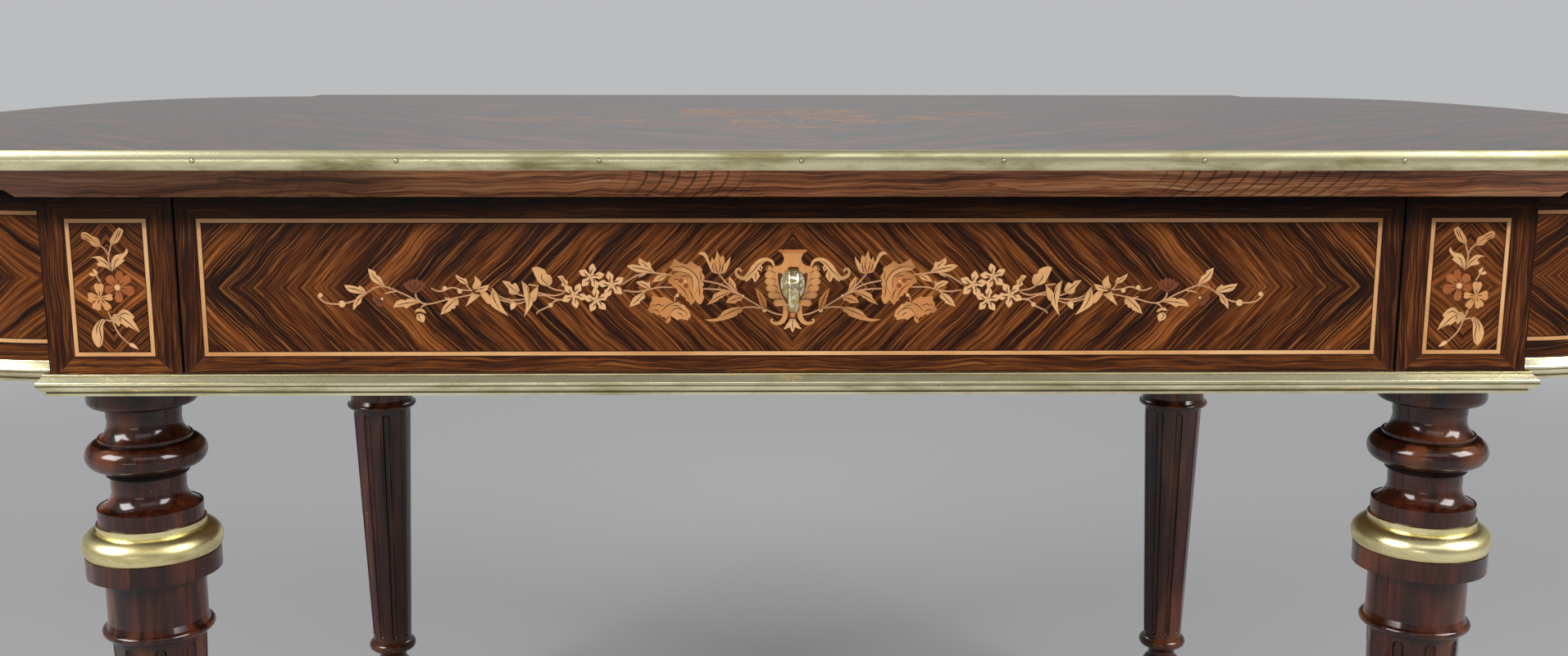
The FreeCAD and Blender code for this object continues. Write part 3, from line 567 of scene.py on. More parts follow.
def leaf(base, tip, width, bend=0.0, tone=0.32, teeth=3, steps=24):
    """A pointed leaf with a toothed edge, bent to one side by a share of its length."""
    base, tip = Vector(base), Vector(tip)
    reach = tip - base
    side = Vector((-reach.y, reach.x))
    left, right, rib = [], [], []
    for step in range(steps + 1):
        t = step / steps
        spine = base + reach * t + side * (bend * 4 * t * (1 - t))
        swell = math.sin(math.pi * t ** 0.72) ** 0.85 if 0 < t < 1 else 0.0
        tooth = 1.0 - 0.26 * ((t * teeth + 0.15) % 1.0) if teeth else 1.0
        half = side.normalized() * width / 2 * swell
        left.append(spine + half * tooth)
        right.append(spine - half * (0.8 + 0.2 * tooth))
        rib.append(spine)
    outline = right + left[-2:0:-1]
    middle = [rib[0], rib[steps // 3], rib[steps * 2 // 3], rib[steps * 4 // 5]]
    return sawn(outline, tone, base, tip) + vein(*middle)


def mirrored(pieces):
    """The same pieces on the other side of the middle."""
    flip = Matrix(((-1, 0), (0, 1)))
    copies = []
    for outline, tone, start, end, line in pieces:
        copies.append(([flip @ point for point in outline], tone, flip @ start, flip @ end, line))
    return copies


def moved(pieces, scale, turn, offset):
    """The same pieces at another size, turned in degrees and carried to another place."""
    change = Matrix.Rotation(math.radians(turn), 2) * scale
    offset = Vector(offset)
    copies = []
    for outline, tone, start, end, line in pieces:
        outline = [change @ point + offset for point in outline]
        copies.append((outline, tone, change @ start + offset, change @ end + offset, line))
    return copies


def piece_of(outline, tone, lines):
    """A sawn piece with its grain from the outline's first point to the farthest, and its saw lines."""
    far = max(outline, key=lambda point: (point - outline[0]).length)
    piece = sawn(outline, tone, outline[0], far)
    for line in lines:
        piece += vein(*line)
    return piece


def cut(side, other_side, tone, *lines):
    """A pointed piece between two edges: one from its root to its tip, the other without those ends."""
    back = smooth_line([side[0], *other_side, side[-1]])
    return piece_of(smooth_line(side) + back[-2:0:-1], tone, lines)


def lobe(points, tone, *lines):
    """A round piece inside a closed curve."""
    return piece_of(smooth_line(points, True), tone, lines)


def tulip(foot, size, turn):
    """A cup of three pointed petals between two that curl away."""
    flower = cut(
        [(0, 0), (-4.5, 1.5), (-7, 6.5), (-10, 12), (-14, 13.5)],
        [(-3, 2), (-6, 8.5), (-8.5, 14), (-11.5, 15)],
        0.40,
    )
    flower += cut([(0, 0), (4, 1), (7, 6.5), (8, 12)], [(2, 2.5), (4, 6.5)], 0.44)
    flower += cut(
        [(0, 0), (-4.5, 2.5), (-5.5, 6.5), (-4.5, 11.5), (-3, 9.5), (-1, 16)],
        [(3, 2.5), (4, 8.5), (3, 12.5), (1, 11.5)],
        0.50,
        [(-3, 2), (-4, 5), (-3.5, 8)],
        [(-1, 1), (-2, 4.5), (-2.5, 8.5)],
        [(0, 1.5), (1, 5), (0, 11.5)],
        [(2, 1), (2.5, 4), (3, 7.5)],
    )
    return moved(flower, size, turn, foot)


def poppy(middle, size, turn):
    """A large open flower: a torn petal behind, its turned lip, and a darker petal in front."""
    flower = lobe(
        [(-7, 7), (-11.5, 9.5), (-9.5, 12), (-8, 15), (-5.5, 13.5), (-0.5, 11.5), (3, 13.5), (6.5, 11),
         (9, 10), (10.5, 8), (10, 6.5), (12, 3), (10.5, 0), (11.5, -2), (10.5, -4), (11, -6), (10.5, -8.5),
         (11.5, -11), (9, -15.5), (6, -13), (4, -6), (2, -0.5), (-2, 4)],
        0.52,
        [(9, -3), (8.5, -7), (9, -10.5)],
        [(8.5, 7), (9.5, 3), (9, 0)],
    )
    flower += lobe(
        [(-7, 6), (-11, 3), (-12.5, 0.5), (-11.5, -1.5), (-10, -2), (-9, -4), (-7, -5), (-6, -7.5),
         (-4.5, -8), (-3, -10), (-1, -11), (-0.5, -13), (1.5, -14), (2.5, -16), (5.5, -13), (5.5, -10),
         (6, -7.5), (4, -1), (1, 3), (-3, 5)],
        0.60,
        [(-7, -1.5), (-4, -4), (-1, -7.5), (1, -12)],
        [(-9, 1), (-7, 1.5), (-5, 1)],
        [(1, -5), (3, -8.5), (4, -12.5)],
    )
    lip = [(-11, 9), (-6, 10), (-0.5, 9), (5, 5.5), (8, 0), (7.5, -4.5), (5.5, -8)]
    lip_root = [(-7.5, 7), (-1.5, 6), (2.5, 3.5), (4, -0.5), (4, -4.5)]
    flower += cut(lip, lip_root, 0.47, lip, lip_root)
    flower += ball((-4, 0.5), 1.6, 0.88) + ball((-0.5, -3), 1.7, 0.88) + ball((-1, 0), 0.8, 0.2)
    flower += vein((-4, 3), (-0.5, 4), (2, 2))
    return moved(flower, size, turn, middle)


def rose(middle, size, turn):
    """A half-open flower of two folded petals with torn edges."""
    flower = lobe(
        [(-14.5, -0.5), (-13, 1), (-13, 3.5), (-11.5, 5.5), (-11, 8.5), (-6, 7.5), (-3, 8), (1.5, 5.5),
         (2.5, 3), (0.5, -3), (1, -8), (-2, -10), (-2.5, -6.5), (-5, -5.5), (-6.5, -4), (-8.5, -4.5),
         (-10, -3), (-12, -3)],
        0.60,
        [(-12, 3), (-9.5, 2), (-7.5, 3), (-5, 2), (-3, 3)],
        [(-11, -1), (-8.5, -1), (-6, -2.5)],
    )
    flower += lobe(
        [(0.5, 3), (6, 4.5), (7.5, 3), (10, 2.5), (11.5, 0.5), (13, -1), (14, -3.5), (14.5, -5.5), (13, -6.5),
         (12.5, -8), (7.5, -7), (5.5, -8), (3.5, -6.5), (0, -4), (1, -1)],
        0.48,
        [(0, -4.5), (2, -1.5), (4, 0), (7, 0), (10, -1.5), (12, -3.5), (11, -5)],
        [(2.5, 2), (5.5, 2), (8.5, 0)],
        [(5.5, -3), (7.5, -3.5), (9.5, -5.5)],
    )
    flower += vein((-5, -2), (-2.5, 1), (0.5, 3), (3, 3.5)) + vein((-2.5, -8), (-1, -6.5), (0, -4.5))
    return moved(flower, size, turn, middle)


def bud(base, tip, width, tone=0.4):
    """A closed flower in its two sepals."""
    base, tip = Vector(base), Vector(tip)
    reach = tip - base
    side = Vector((-reach.y, reach.x)).normalized() * width
    cup = base + reach * 0.36
    widths = [width * 0.3, width * 0.5, 0.1]
    piece = leaf(base + reach * 0.12, tip, width, 0.0, tone, 0, 14)
    for way, sepal_tone in ((1, 0.3), (-1, 0.34)):
        sepal = [base, cup + side * 0.42 * way, base + reach * 0.62 + side * 0.30 * way]
        piece += strip(sepal, widths, sepal_tone)
    return piece


def cartouche():
    """The shield round the keyhole: neck, gadrooned sides, scrolled wings and feet, and a pendant."""
    half = [(7.2, 24.4), (6.2, 22.4), (5.8, 20.4), (6.7, 17.8), (9.2, 16.0), (13.0, 15.2), (13.6, 10.0)]
    half += [(13.0, 4.0), (11.6, -1.5), (9.2, -6.0), (6.8, -9.6), (6.2, -12.8)]
    whole = smooth_line(half, False, 3)
    body = whole + [Vector((-point.x, point.y)) for point in reversed(whole)]
    rim = [(-9.6, 26.9), (9.6, 26.9), (9.6, 25.9), (7.3, 24.4), (-7.3, 24.4), (-9.6, 25.9)]
    shield = [(-9.8, 11.2), (-5.6, 10.0), (0, 12.2), (5.6, 10.0), (9.8, 11.2), (9.4, 4.0), (7.6, -3.0)]
    shield += [(4.4, -9.4), (0, -11.2), (-4.4, -9.4), (-7.6, -3.0), (-9.4, 4.0)]
    pieces = sawn(body, 0.50, (0, -12), (0, 24))
    pieces += sawn([Vector(point) for point in rim], 0.66, (-9, 25), (9, 25))
    pieces += sawn(smooth_line(shield, True, 3), 1.0, (0, -11), (0, 11))
    shield_edge = [Vector(point) * 1.06 for point in shield[2:9]]
    side = strip(shield_edge, [0.55, 0.55], 0.36)
    lobes = [((-11.8, 10.0), (-16.5, 9.8)), ((-11.2, 5.0), (-16.5, 5.4)), ((-10.2, 0.2), (-15.7, 0.9))]
    lobes += [((-7.8, -4.4), (-14.5, -3.9)), ((-4.8, -8.8), (-10.6, -9.2))]
    for root, end in reversed(lobes):
        root, end = Vector(root), Vector(end)
        swell = root.lerp(end, 0.6)
        side += strip([root, swell, end], [3.6, 4.6, 4.5], 0.48, False, 8)
        side += ball(end, 2.25, 0.48)
        side += vein(end + Vector((-1.6, 2.0)), swell + Vector((0, 2.5)), root + Vector((0.6, 1.0)))
    side += ball((-15.8, 14.0), 2.3, 0.50) + vein((-14.2, 15.2), (-16.6, 15.6), (-17.0, 13.2), (-15.2, 13.0))
    foot = [(-4.8, -11.8), (-4.9, -17.4), (-6.6, -21.4), (-9.7, -23.2), (-13.0, -22.8), (-14.4, -21.2)]
    foot += [(-13.4, -20.2)]
    side += strip(foot, [3.0, 3.4, 3.2, 2.4, 1.6, 1.4, 1.2], 0.48)
    wing = [(-34.4, 12.0), (-35.4, 13.8), (-37.4, 13.6), (-38.0, 11.2), (-36.2, 8.6), (-32.4, 7.6)]
    wing += [(-28.8, 9.8), (-25.4, 14.6), (-21.6, 18.8), (-17.4, 20.3), (-14.0, 19.0), (-12.5, 15.8)]
    widths = [1.4, 1.5, 1.6, 1.8, 2.2, 2.8, 4.6, 5.0, 3.8, 2.4, 1.8, 1.4]
    side += leaf((-25.6, 13.4), (-25.4, 4.8), 5.8, 0.10, 0.34, 2)
    side += leaf((-29.0, 9.6), (-31.6, 5.2), 3.6, 0.0, 0.34, 2)
    side += leaf((-23.0, 16.6), (-21.2, 12.2), 3.6, 0.1, 0.34, 2)
    side += strip(wing, widths, 0.36) + vein((-31.0, 8.6), (-26.6, 12.4), (-22.6, 17.2), (-18.0, 19.6))
    pieces += side + mirrored(side)
    pieces += ball((0, -17.4), 1.9, 0.62)
    petal = strip([(-0.8, -20.2), (-2.8, -24.6), (-6.0, -27.2)], [1.6, 3.0, 0.2], 0.34)
    pieces += petal + mirrored(petal) + leaf((0, -19.8), (0, -29.4), 4.2, 0.0, 0.24, 0)
    return pieces


def spray_stems():
    """The stalks of one side, from the last tendril in to the cartouche's foot."""
    stalks = [
        [(-285.5, -2.5), (-294, -7.5), (-304, -9.5), (-313, -8.5), (-317.5, -4.5), (-316.5, -3),
         (-315, -3.5)],
        [(-286, -2.5), (-279, 1.5), (-272, 2), (-260, -3), (-246, -9.5), (-231, -6.5), (-213.5, -3)],
        [(-273, -2.5), (-269, -1.5), (-265, -1)],
        [(-252.5, -2.5), (-252, -5.5), (-249, -8.5)],
        [(-244.5, -9.5), (-247.5, -10.5), (-249.5, -12.5)],
        [(-242, 1), (-236, -1), (-228, 1.5), (-222, 0), (-214.5, -0.5)],
        [(-218, 4), (-217.5, 2), (-215.5, 0)],
        [(-197, -4.5), (-189.5, -7), (-179.5, -6.5)],
        [(-197.5, -6.5), (-190, -8.5), (-184.5, -9.5), (-179.5, -8)],
        [(-184.5, -3), (-180, -4.5)],
        [(-186.5, -9), (-191, -6)],
        [(-177, 3.5), (-170, 2.5)],
        [(-163.5, 2), (-159, 0), (-152.5, -1)],
        [(-171, -2), (-160, -4), (-153, -2)],
        [(-171, -4), (-166, -4), (-159, -6.5), (-153, -6.5)],
        [(-172, -16.5), (-170.5, -14.5), (-164, -11.5), (-159, -7.5), (-153, -7)],
        [(-114, 3.5), (-105.5, 9), (-96.5, 11.5), (-87, 10.5), (-81, 10)],
        [(-103, 8.5), (-98.5, 10.5)],
        [(-113.5, -0.5), (-105, -1.5), (-96.5, 0), (-89.5, 1.5), (-80.5, 1.5)],
        [(-101, -2.5), (-98.5, -1)],
        [(-76, -2.5), (-78.5, -4.5), (-79.5, -8)],
        [(-60, 6), (-48.5, 3.5), (-38, -2), (-21.5, -12)],
        [(-60, 0.5), (-50, 0), (-41, -1.5), (-36, -3.5)],
        [(-49.5, 10.5), (-43.5, 3.5), (-35.5, -3.5)],
        [(-34, -12.5), (-27, -12), (-21.5, -13)],
        [(-6.5, -17.5), (-13, -16), (-21.5, -12)],
    ]
    pieces = []
    for points in stalks:
        pieces += stem(*points)
    return pieces


def half_spray():
    """One side of the drawer's spray: stalks, berries, leaves with toothed edges, and flowers."""
    pieces = spray_stems()
    for middle, radius in (
        ((-316, -3.5), 1.5), ((-302, -9.5), 2.3), ((-233, 1), 1.6), ((-223, -1), 1.6),
        ((-162.5, -10.5), 1.6), ((-77.5, -4), 1.2), ((-33.5, -4.5), 1.0), ((-19, -14), 1.6),
    ):
        pieces += ball(middle, radius, 0.14)
    # Each leaf has one edge from its root to its tip, the other edge, its tone and, on most, a saw line
    leaves = [
        ([(-285.5, -2.5), (-291, -2.5), (-297, -1), (-300, 3.5)],
         [(-286, 0), (-289.5, 3), (-290.5, 2), (-295, 3)],
         0.32, [(-298, 1.5), (-293, 0.5), (-287.5, -1.5)]),
        ([(-286, -2.5), (-288, -5), (-289.5, -9), (-291.5, -10.5), (-294.5, -14)],
         [(-290, -3.5), (-292.5, -6), (-294.5, -10)],
         0.34, [(-288, -4), (-291, -7), (-293, -10.5)]),
        ([(-273, 2.5), (-278.5, 4.5), (-282, 7.5), (-283.5, 14.5)],
         [(-274, 5.5), (-276, 9), (-278, 10), (-279, 12.5)],
         0.3, [(-281.5, 11.5), (-279, 8), (-274.5, 4)]),
        ([(-249, -8.5), (-255.5, -10.5), (-259, -12.5), (-261, -11.5), (-268, -12)],
         [(-252.5, -7), (-257.5, -6), (-259.5, -7), (-262, -6.5), (-265.5, -8)],
         0.36, [(-265, -10.5), (-259, -9), (-251.5, -8.5)]),
        ([(-225.5, -4.5), (-224, -7.5), (-224.5, -10.5), (-226, -10.5), (-226.5, -12.5), (-229, -13),
          (-230, -14.5), (-236.5, -17)],
         [(-228.5, -6), (-233.5, -5), (-231, -7.5), (-234, -11)],
         0.34, [(-234.5, -15), (-231, -11), (-225.5, -6)]),
        ([(-218, 3.5), (-221.5, 4.5), (-224.5, 7.5), (-225.5, 10.5)],
         [(-217.5, 5.5), (-219, 8), (-219.5, 7.5), (-222, 8.5)],
         0.3, [(-224, 8), (-221, 6.5), (-219, 4.5)]),
        ([(-213.5, 0), (-214.5, 2), (-213, 5.5), (-212.5, 9.5)],
         [(-210, 1.5), (-208.5, 4), (-209.5, 6.5)],
         0.38),
        ([(-213, -1.5), (-211.5, 0.5), (-207.5, 2.5), (-203, 3.5)],
         [(-208.5, -1.5), (-205, -0.5)],
         0.34, [(-212.5, -0.5), (-209, 0.5), (-206, 1.5)]),
        ([(-215, -1.5), (-216.5, -5.5), (-219.5, -11.5)],
         [(-212, -3), (-209.5, -3.5), (-212, -6)],
         0.32),
        ([(-209.5, -1.5), (-207, -1), (-203.5, -3.5), (-202, -9)],
         [(-208.5, -4.5), (-204.5, -9.5)],
         0.38),
        ([(-201, 1.5), (-203, -6), (-201.5, -11.5), (-191, -18)],
         [(-198, -3), (-195.5, -10.5)],
         0.34, [(-201, -2), (-200, -7), (-196.5, -13.5)]),
        ([(-184.5, -3), (-187.5, -3.5), (-190, -2), (-190.5, 0.5), (-194.5, 6)],
         [(-183, 0), (-185.5, 4.5), (-188, 3.5), (-190, 5.5)],
         0.34, [(-192, 4.5), (-188.5, 1.5), (-185, -1.5)]),
        ([(-181.5, 6), (-180, -4), (-179, -11), (-180.5, -18.5)],
         [(-177.5, 2.5), (-176, -4), (-174.5, -9), (-176.5, -13)],
         0.32, [(-178, 1.5), (-176.5, -4.5), (-177.5, -11)]),
        ([(-174, -8.5), (-176, -6), (-175.5, -2), (-170.5, 2.5)],
         [(-172, -6.5), (-171, -2)],
         0.38),
        ([(-163.5, 2), (-168.5, 3.5), (-171, 6.5), (-174.5, 14.5)],
         [(-161, 5), (-162, 9.5), (-164.5, 10.5), (-166, 13.5), (-171, 15.5)],
         0.34, [(-167.5, 10.5), (-168, 7.5), (-163.5, 2.5)]),
        ([(-151.5, 1), (-155, 3), (-154.5, 5), (-157.5, 9)],
         [(-150.5, 5.5), (-152.5, 7), (-154, 9.5)],
         0.34, [(-155, 8.5), (-153.5, 5.5), (-152, 2.5)]),
        ([(-92, 11.5), (-98, 13.5), (-103, 18), (-102.5, 21.5)],
         [(-94.5, 15), (-95.5, 18.5), (-98, 18.5)],
         0.34, [(-101, 19), (-98, 16), (-94.5, 13)]),
        ([(-91.5, 11), (-94, 12), (-102, 11.5), (-107, 13), (-111, 16)],
         [(-95, 14.5), (-101.5, 16), (-107, 17)],
         0.34, [(-107.5, 15), (-101, 14), (-93.5, 12)]),
        ([(-84, 10.5), (-86, 11.5), (-87, 10), (-91, 9), (-93.5, 5)],
         [(-86, 7.5), (-88.5, 6)],
         0.36, [(-91, 6.5), (-88.5, 8), (-85, 10)]),
        ([(-94.5, -0.5), (-102, 2.5), (-105, 5)],
         [(-95.5, 2.5), (-96, 6), (-97, 4.5), (-101, 6)],
         0.36, [(-102.5, 4.5), (-99, 3), (-95.5, 0)]),
        ([(-100, -2), (-99, -5.5), (-102.5, -8), (-103, -9.5), (-110, -12)],
         [(-103, -3), (-107, -6)],
         0.34, [(-107.5, -10), (-104, -7), (-100.5, -3)]),
        ([(-37, -2), (-41, 0.5), (-43, 6), (-42.5, 8.5)],
         [(-38, 2), (-38.5, 4), (-41, 7.5)],
         0.46, [(-42, 6.5), (-41, 3), (-38, -0.5)]),
        ([(-41, -1.5), (-43, -3.5), (-45.5, -4), (-47, -5.5), (-49.5, -6.5), (-51, -8), (-57.5, -10.5)],
         [(-45, -1), (-48, -1), (-53, -3.5), (-54, -6)],
         0.5, [(-55, -8.5), (-50, -5), (-42.5, -2)]),
        ([(-33, -5), (-34.5, -7.5), (-37, -8), (-39, -9.5), (-44.5, -9)],
         [(-37, -4), (-40, -4), (-43.5, -6.5)],
         0.54, [(-42.5, -8), (-38.5, -6.5), (-34, -5)]),
        ([(-33.5, -12.5), (-34.5, -15.5), (-36.5, -16), (-38, -18), (-45, -20.5), (-54, -22),
          (-59.5, -20.5)],
         [(-38.5, -12), (-46, -14.5), (-51, -19.5)],
         0.52, [(-48.5, -19), (-41, -15), (-35, -13)]),
    ]
    for side, other_side, tone, *lines in leaves:
        pieces += cut(side, other_side, tone, *lines)
    pieces += leaf((-18.5, -14), (-25, 1), 5, -0.05, 0.66)
    pieces += tulip((-49.5, 10.5), 1.0, 0.0) + rose((-83, -13), 1.0, 0.0) + poppy((-71, 5.5), 1.0, 0.0)
    pieces += lobe(
        [(-250, -16), (-247, -18), (-248, -22), (-252, -20.5), (-252.5, -17.5)],
        0.30,
        [(-250.5, -17), (-251, -18.5), (-249.5, -21)],
    )
    pieces += cut([(-249.5, -12.5), (-252, -13), (-253.5, -15)], [(-249.5, -14.5)], 0.36)
    pieces += cut([(-249.5, -12.5), (-247, -14), (-246, -16)], [(-249.5, -14.5)], 0.36)
    pieces += cut([(-186, -8.5), (-185.5, -11), (-189, -14)], [(-189.5, -10)], 0.2)
    pieces += lobe(
        [(-255.5, -1.5), (-259, 1), (-260.5, 3.5), (-259, 5), (-257.5, 5), (-257, 7), (-255.5, 6),
         (-254, 7.5), (-252.5, 6.5), (-251, 8), (-250, 6), (-248, 6.5), (-247.5, 5), (-245.5, 3.5),
         (-247.5, 0.5), (-252, -2)],
        0.96,
        [(-253, -1), (-255.5, 2.5), (-257, 5)],
        [(-253, -1), (-253, 3), (-252.5, 5.5)],
        [(-252.5, -1), (-250, 2), (-248.5, 4.5)],
    )
    pieces += lobe(
        [(-281.5, -5.5), (-280, -4), (-278.5, -4.5), (-276.5, -3.5), (-272.5, -6), (-273.5, -7.5),
         (-273.5, -9.5), (-275.5, -11.5), (-279, -10.5), (-279.5, -8.5), (-281, -8)],
        0.96,
        [(-280, -6), (-277, -7.5), (-274.5, -9.5)],
    )
    return pieces + ball((-275, -6), 0.9, 0.2)


wood_tones = [
    (0.0, ink(206, 154, 110)),
    (0.18, ink(238, 188, 134)),
    (0.36, ink(224, 168, 110)),
    (0.56, ink(208, 140, 78)),
    (0.72, ink(190, 116, 58)),
    (0.86, ink(150, 74, 36)),
    (1.0, ink(100, 56, 30)),
]


def sawn_woods(name, coat, fade=0.0):
    """Dyed and scorched woods, darkest where each piece grows from, and the stopping in its saw lines.

    Fade is how far the light has bleached and browned them.
    """
    wood, (x, y, z) = new_finish(name)
    tone = x.node("ShaderNodeAttribute", {"attribute_name": "tone"}, {}, "Fac")
    along, across = x.node("ShaderNodeUVMap", {"uv_map": "grain"}, {}).parts()[:2]
    fibre = speckle(along * 2.0 + x * 60.0, across * 16.0 + z * 40.0, y * 60.0, 3.0, 0.6)
    stains = even_speckle((x, y, z), 150.0, 3.0, 0.6)
    root = 1.0 - along.rise(0.0, 0.42)
    scorch = root * 0.30 + stains.rise(0.55, 0.8) * 0.10 + fibre.rise(0.45, 0.8) * 0.14
    colour = scorch.tint(tone.ramp(wood_tones), ink(108, 62, 34))
    colour = x.node("ShaderNodeMix", {"data_type": "RGBA"}, {0: fade, 6: colour, 7: ink(112, 84, 64)}, 2)
    polish = {"specular_ior_level": 0.05, "coat_weight": coat, "coat_roughness": 0.10}
    dress(wood, base_color=colour, roughness=0.36 + fibre * 0.12, **polish)
    line, place = new_finish(name + "_lines")
    stopping = even_speckle(place, 900.0)
    dress(line, base_color=stopping.tint(ink(66, 36, 20), ink(34, 18, 12)), roughness=0.5, **polish)
    return wood, line


inlay_finish, saw_line = sawn_woods("sawn_marquetry", 0.6)


def drawn_mesh(name, pieces, level=0.05):
    """Sawn pieces as thin plates in the drawing's own plane, in millimetres, each over those before it."""
    sink, step = 0.06, 0.005
    laid = []
    work = bmesh.new()
    grain = work.loops.layers.uv.new("grain")
    wood = work.verts.layers.float.new("tone")
    saw = work.faces.layers.int.new("saw_line")
    for outline, tone, start, end, line in pieces:
        left, right = min(point.x for point in outline), max(point.x for point in outline)
        low, high = min(point.y for point in outline), max(point.y for point in outline)
        lift = level
        for box in laid:
            if left < box[1] and right > box[0] and low < box[3] and high > box[2]:
                lift = max(lift, box[4] + step)
        laid.append((left, right, low, high, lift))
        turns = zip(outline, outline[1:] + outline[:1])
        if sum(a.x * b.y - b.x * a.y for a, b in turns) < 0:
            outline = outline[::-1]
        reach = end - start
        side = Vector((-reach.y, reach.x))
        upper = [work.verts.new((*point, lift)) for point in outline]
        lower = [work.verts.new((*point, -sink)) for point in outline]
        faces = [work.faces.new(upper), work.faces.new(lower[::-1])]
        for first in range(len(outline)):
            second = (first + 1) % len(outline)
            faces.append(work.faces.new((upper[first], lower[first], lower[second], upper[second])))
        for vertex in upper + lower:
            vertex[wood] = tone
        for face in faces:
            face.material_index = int(line)
            face[saw] = int(line)
            for loop in face.loops:
                from_start = (Vector(loop.vert.co[:2]) - start) / reach.length_squared
                loop[grain].uv = (from_start.dot(reach), from_start.dot(side))
    mesh = bpy.data.meshes.new(name)
    work.to_mesh(mesh)
    work.free()
    mesh.materials.append(inlay_finish)
    mesh.materials.append(saw_line)
    return mesh


def open_petal(size):
    """One pointed petal of a five-petalled flower, along +X from the flower's middle, with its fold."""
    edge = [(-0.06, 0.0), (0.08, -0.13), (0.24, -0.15), (0.38, -0.16), (0.52, -0.25), (0.66, -0.28)]
    edge += [(0.82, -0.18), (1.04, 0.03), (0.86, 0.19), (0.70, 0.28), (0.54, 0.25), (0.40, 0.16)]
    edge += [(0.24, 0.15), (0.08, 0.13)]
    outline = [point * size for point in smooth_line(edge, True, 3)]
    fold = [Vector(point) * size for point in ((0.10, 0.05), (0.28, 0.09), (0.46, 0.03), (0.66, -0.02))]
    return sawn(outline, 0.24, (-0.2 * size, 0), (size, 0)) + strip(fold, [0.4, 0.85, 0.25], 0.0, True, 4)


def start_tree(name, **inputs):
    """A Geometry Nodes tree with named inputs, and the ports of those inputs."""
    tree = bpy.data.node_groups.new(name, "GeometryNodeTree")
    for label, kind in inputs.items():
        tree.interface.new_socket(label, in_out="INPUT", socket_type="NodeSocket" + kind)
    tree.interface.new_socket("Result", in_out="OUTPUT", socket_type="NodeSocketGeometry")
    sockets = tree.nodes.new("NodeGroupInput").outputs
    return [Port(tree, sockets[label]) for label in inputs]


def end_tree(result):
    """Link a port to the output of its tree, and return the tree."""
    result.tree.links.new(result.socket, result.tree.nodes.new("NodeGroupOutput").inputs[0])
    return result.tree


def petal_tree():
    """Geometry Nodes: a petal set round each drawn point, turned and sized by the point's own values."""
    petal_lift = 0.012
    middles, petal, petals, wood, line = start_tree(
        "open_flowers",
        Middles="Geometry",
        Petal="Object",
        Petals="Int",
        Wood="Material",
        Line="Material",
    )
    shape = petal.node("GeometryNodeObjectInfo", {}, {"Object": petal}, "Geometry")
    number = petals.node("GeometryNodeInputIndex", {}, {})
    over = number.node("ShaderNodeCombineXYZ", {}, {"Z": number * petal_lift})
    ring = petals.node("GeometryNodePoints", {}, {"Count": petals, "Position": over})
    angle = number * math.tau * petals.maths("DIVIDE", 1.0, petals)
    turn = angle.node("ShaderNodeCombineXYZ", {}, {"Z": angle})
    around = {"Points": ring, "Instance": shape, "Rotation": turn}
    flower = ring.node("GeometryNodeInstanceOnPoints", {}, around)
    flower = flower.node("GeometryNodeRealizeInstances", {}, {"Geometry": flower})
    turned = middles.node("GeometryNodeInputNamedAttribute", {}, {"Name": "turn"})
    sized = middles.node("GeometryNodeInputNamedAttribute", {}, {"Name": "size"})
    lean = turned.node("ShaderNodeCombineXYZ", {}, {"Z": turned})
    flat = sized.node("ShaderNodeCombineXYZ", {}, {"X": sized, "Y": sized, "Z": 1.0})
    spread = {"Points": middles, "Instance": flower, "Rotation": lean, "Scale": flat}
    flowers = flower.node("GeometryNodeInstanceOnPoints", {}, spread)
    flowers = flowers.node("GeometryNodeRealizeInstances", {}, {"Geometry": flowers})
    flowers = flowers.node("GeometryNodeSetMaterial", {}, {"Geometry": flowers, "Material": wood})
    sawn_line = middles.node("GeometryNodeInputNamedAttribute", {"data_type": "INT"}, {"Name": "saw_line"})
    lined = {"Geometry": flowers, "Selection": sawn_line, "Material": line}
    return end_tree(flowers.node("GeometryNodeSetMaterial", {}, lined))


def run_tree(tree, mesh, **inputs):
    """Evaluate a tree on a mesh and return the result as a plain mesh."""
    carrier = bpy.data.objects.new("carrier", mesh)
    bpy.context.scene.collection.objects.link(carrier)
    modifier = carrier.modifiers.new("tree", "NODES")
    modifier.node_group = tree
    for socket in tree.interface.items_tree:
        if socket.in_out == "INPUT" and socket.name in inputs:
            modifier[socket.identifier] = inputs[socket.name]
    shown = carrier.evaluated_get(bpy.context.evaluated_depsgraph_get())
    result = bpy.data.meshes.new_from_object(shown)
    carrier.modifiers.remove(modifier)
    bpy.data.objects.remove(carrier)
    return result


flower_tree = petal_tree()


def open_flowers(places, petal_size, petals=5):
    """Flowers at the drawn places, each given as x, y, size and turn in degrees."""
    petal = bpy.data.objects.new("petal", drawn_mesh("petal", open_petal(petal_size), 0.2))
    bpy.context.scene.collection.objects.link(petal)
    points = bpy.data.meshes.new("middles")
    points.from_pydata([(x, y, 0) for x, y, size, turn in places], [], [])
    sizes = points.attributes.new("size", "FLOAT", "POINT")
    turns = points.attributes.new("turn", "FLOAT", "POINT")
    for number, (x, y, size, turn) in enumerate(places):
        sizes.data[number].value = size
        turns.data[number].value = math.radians(turn)
    made = run_tree(flower_tree, points, Petal=petal, Petals=petals, Wood=inlay_finish, Line=saw_line)
    bpy.data.objects.remove(petal)
    return made


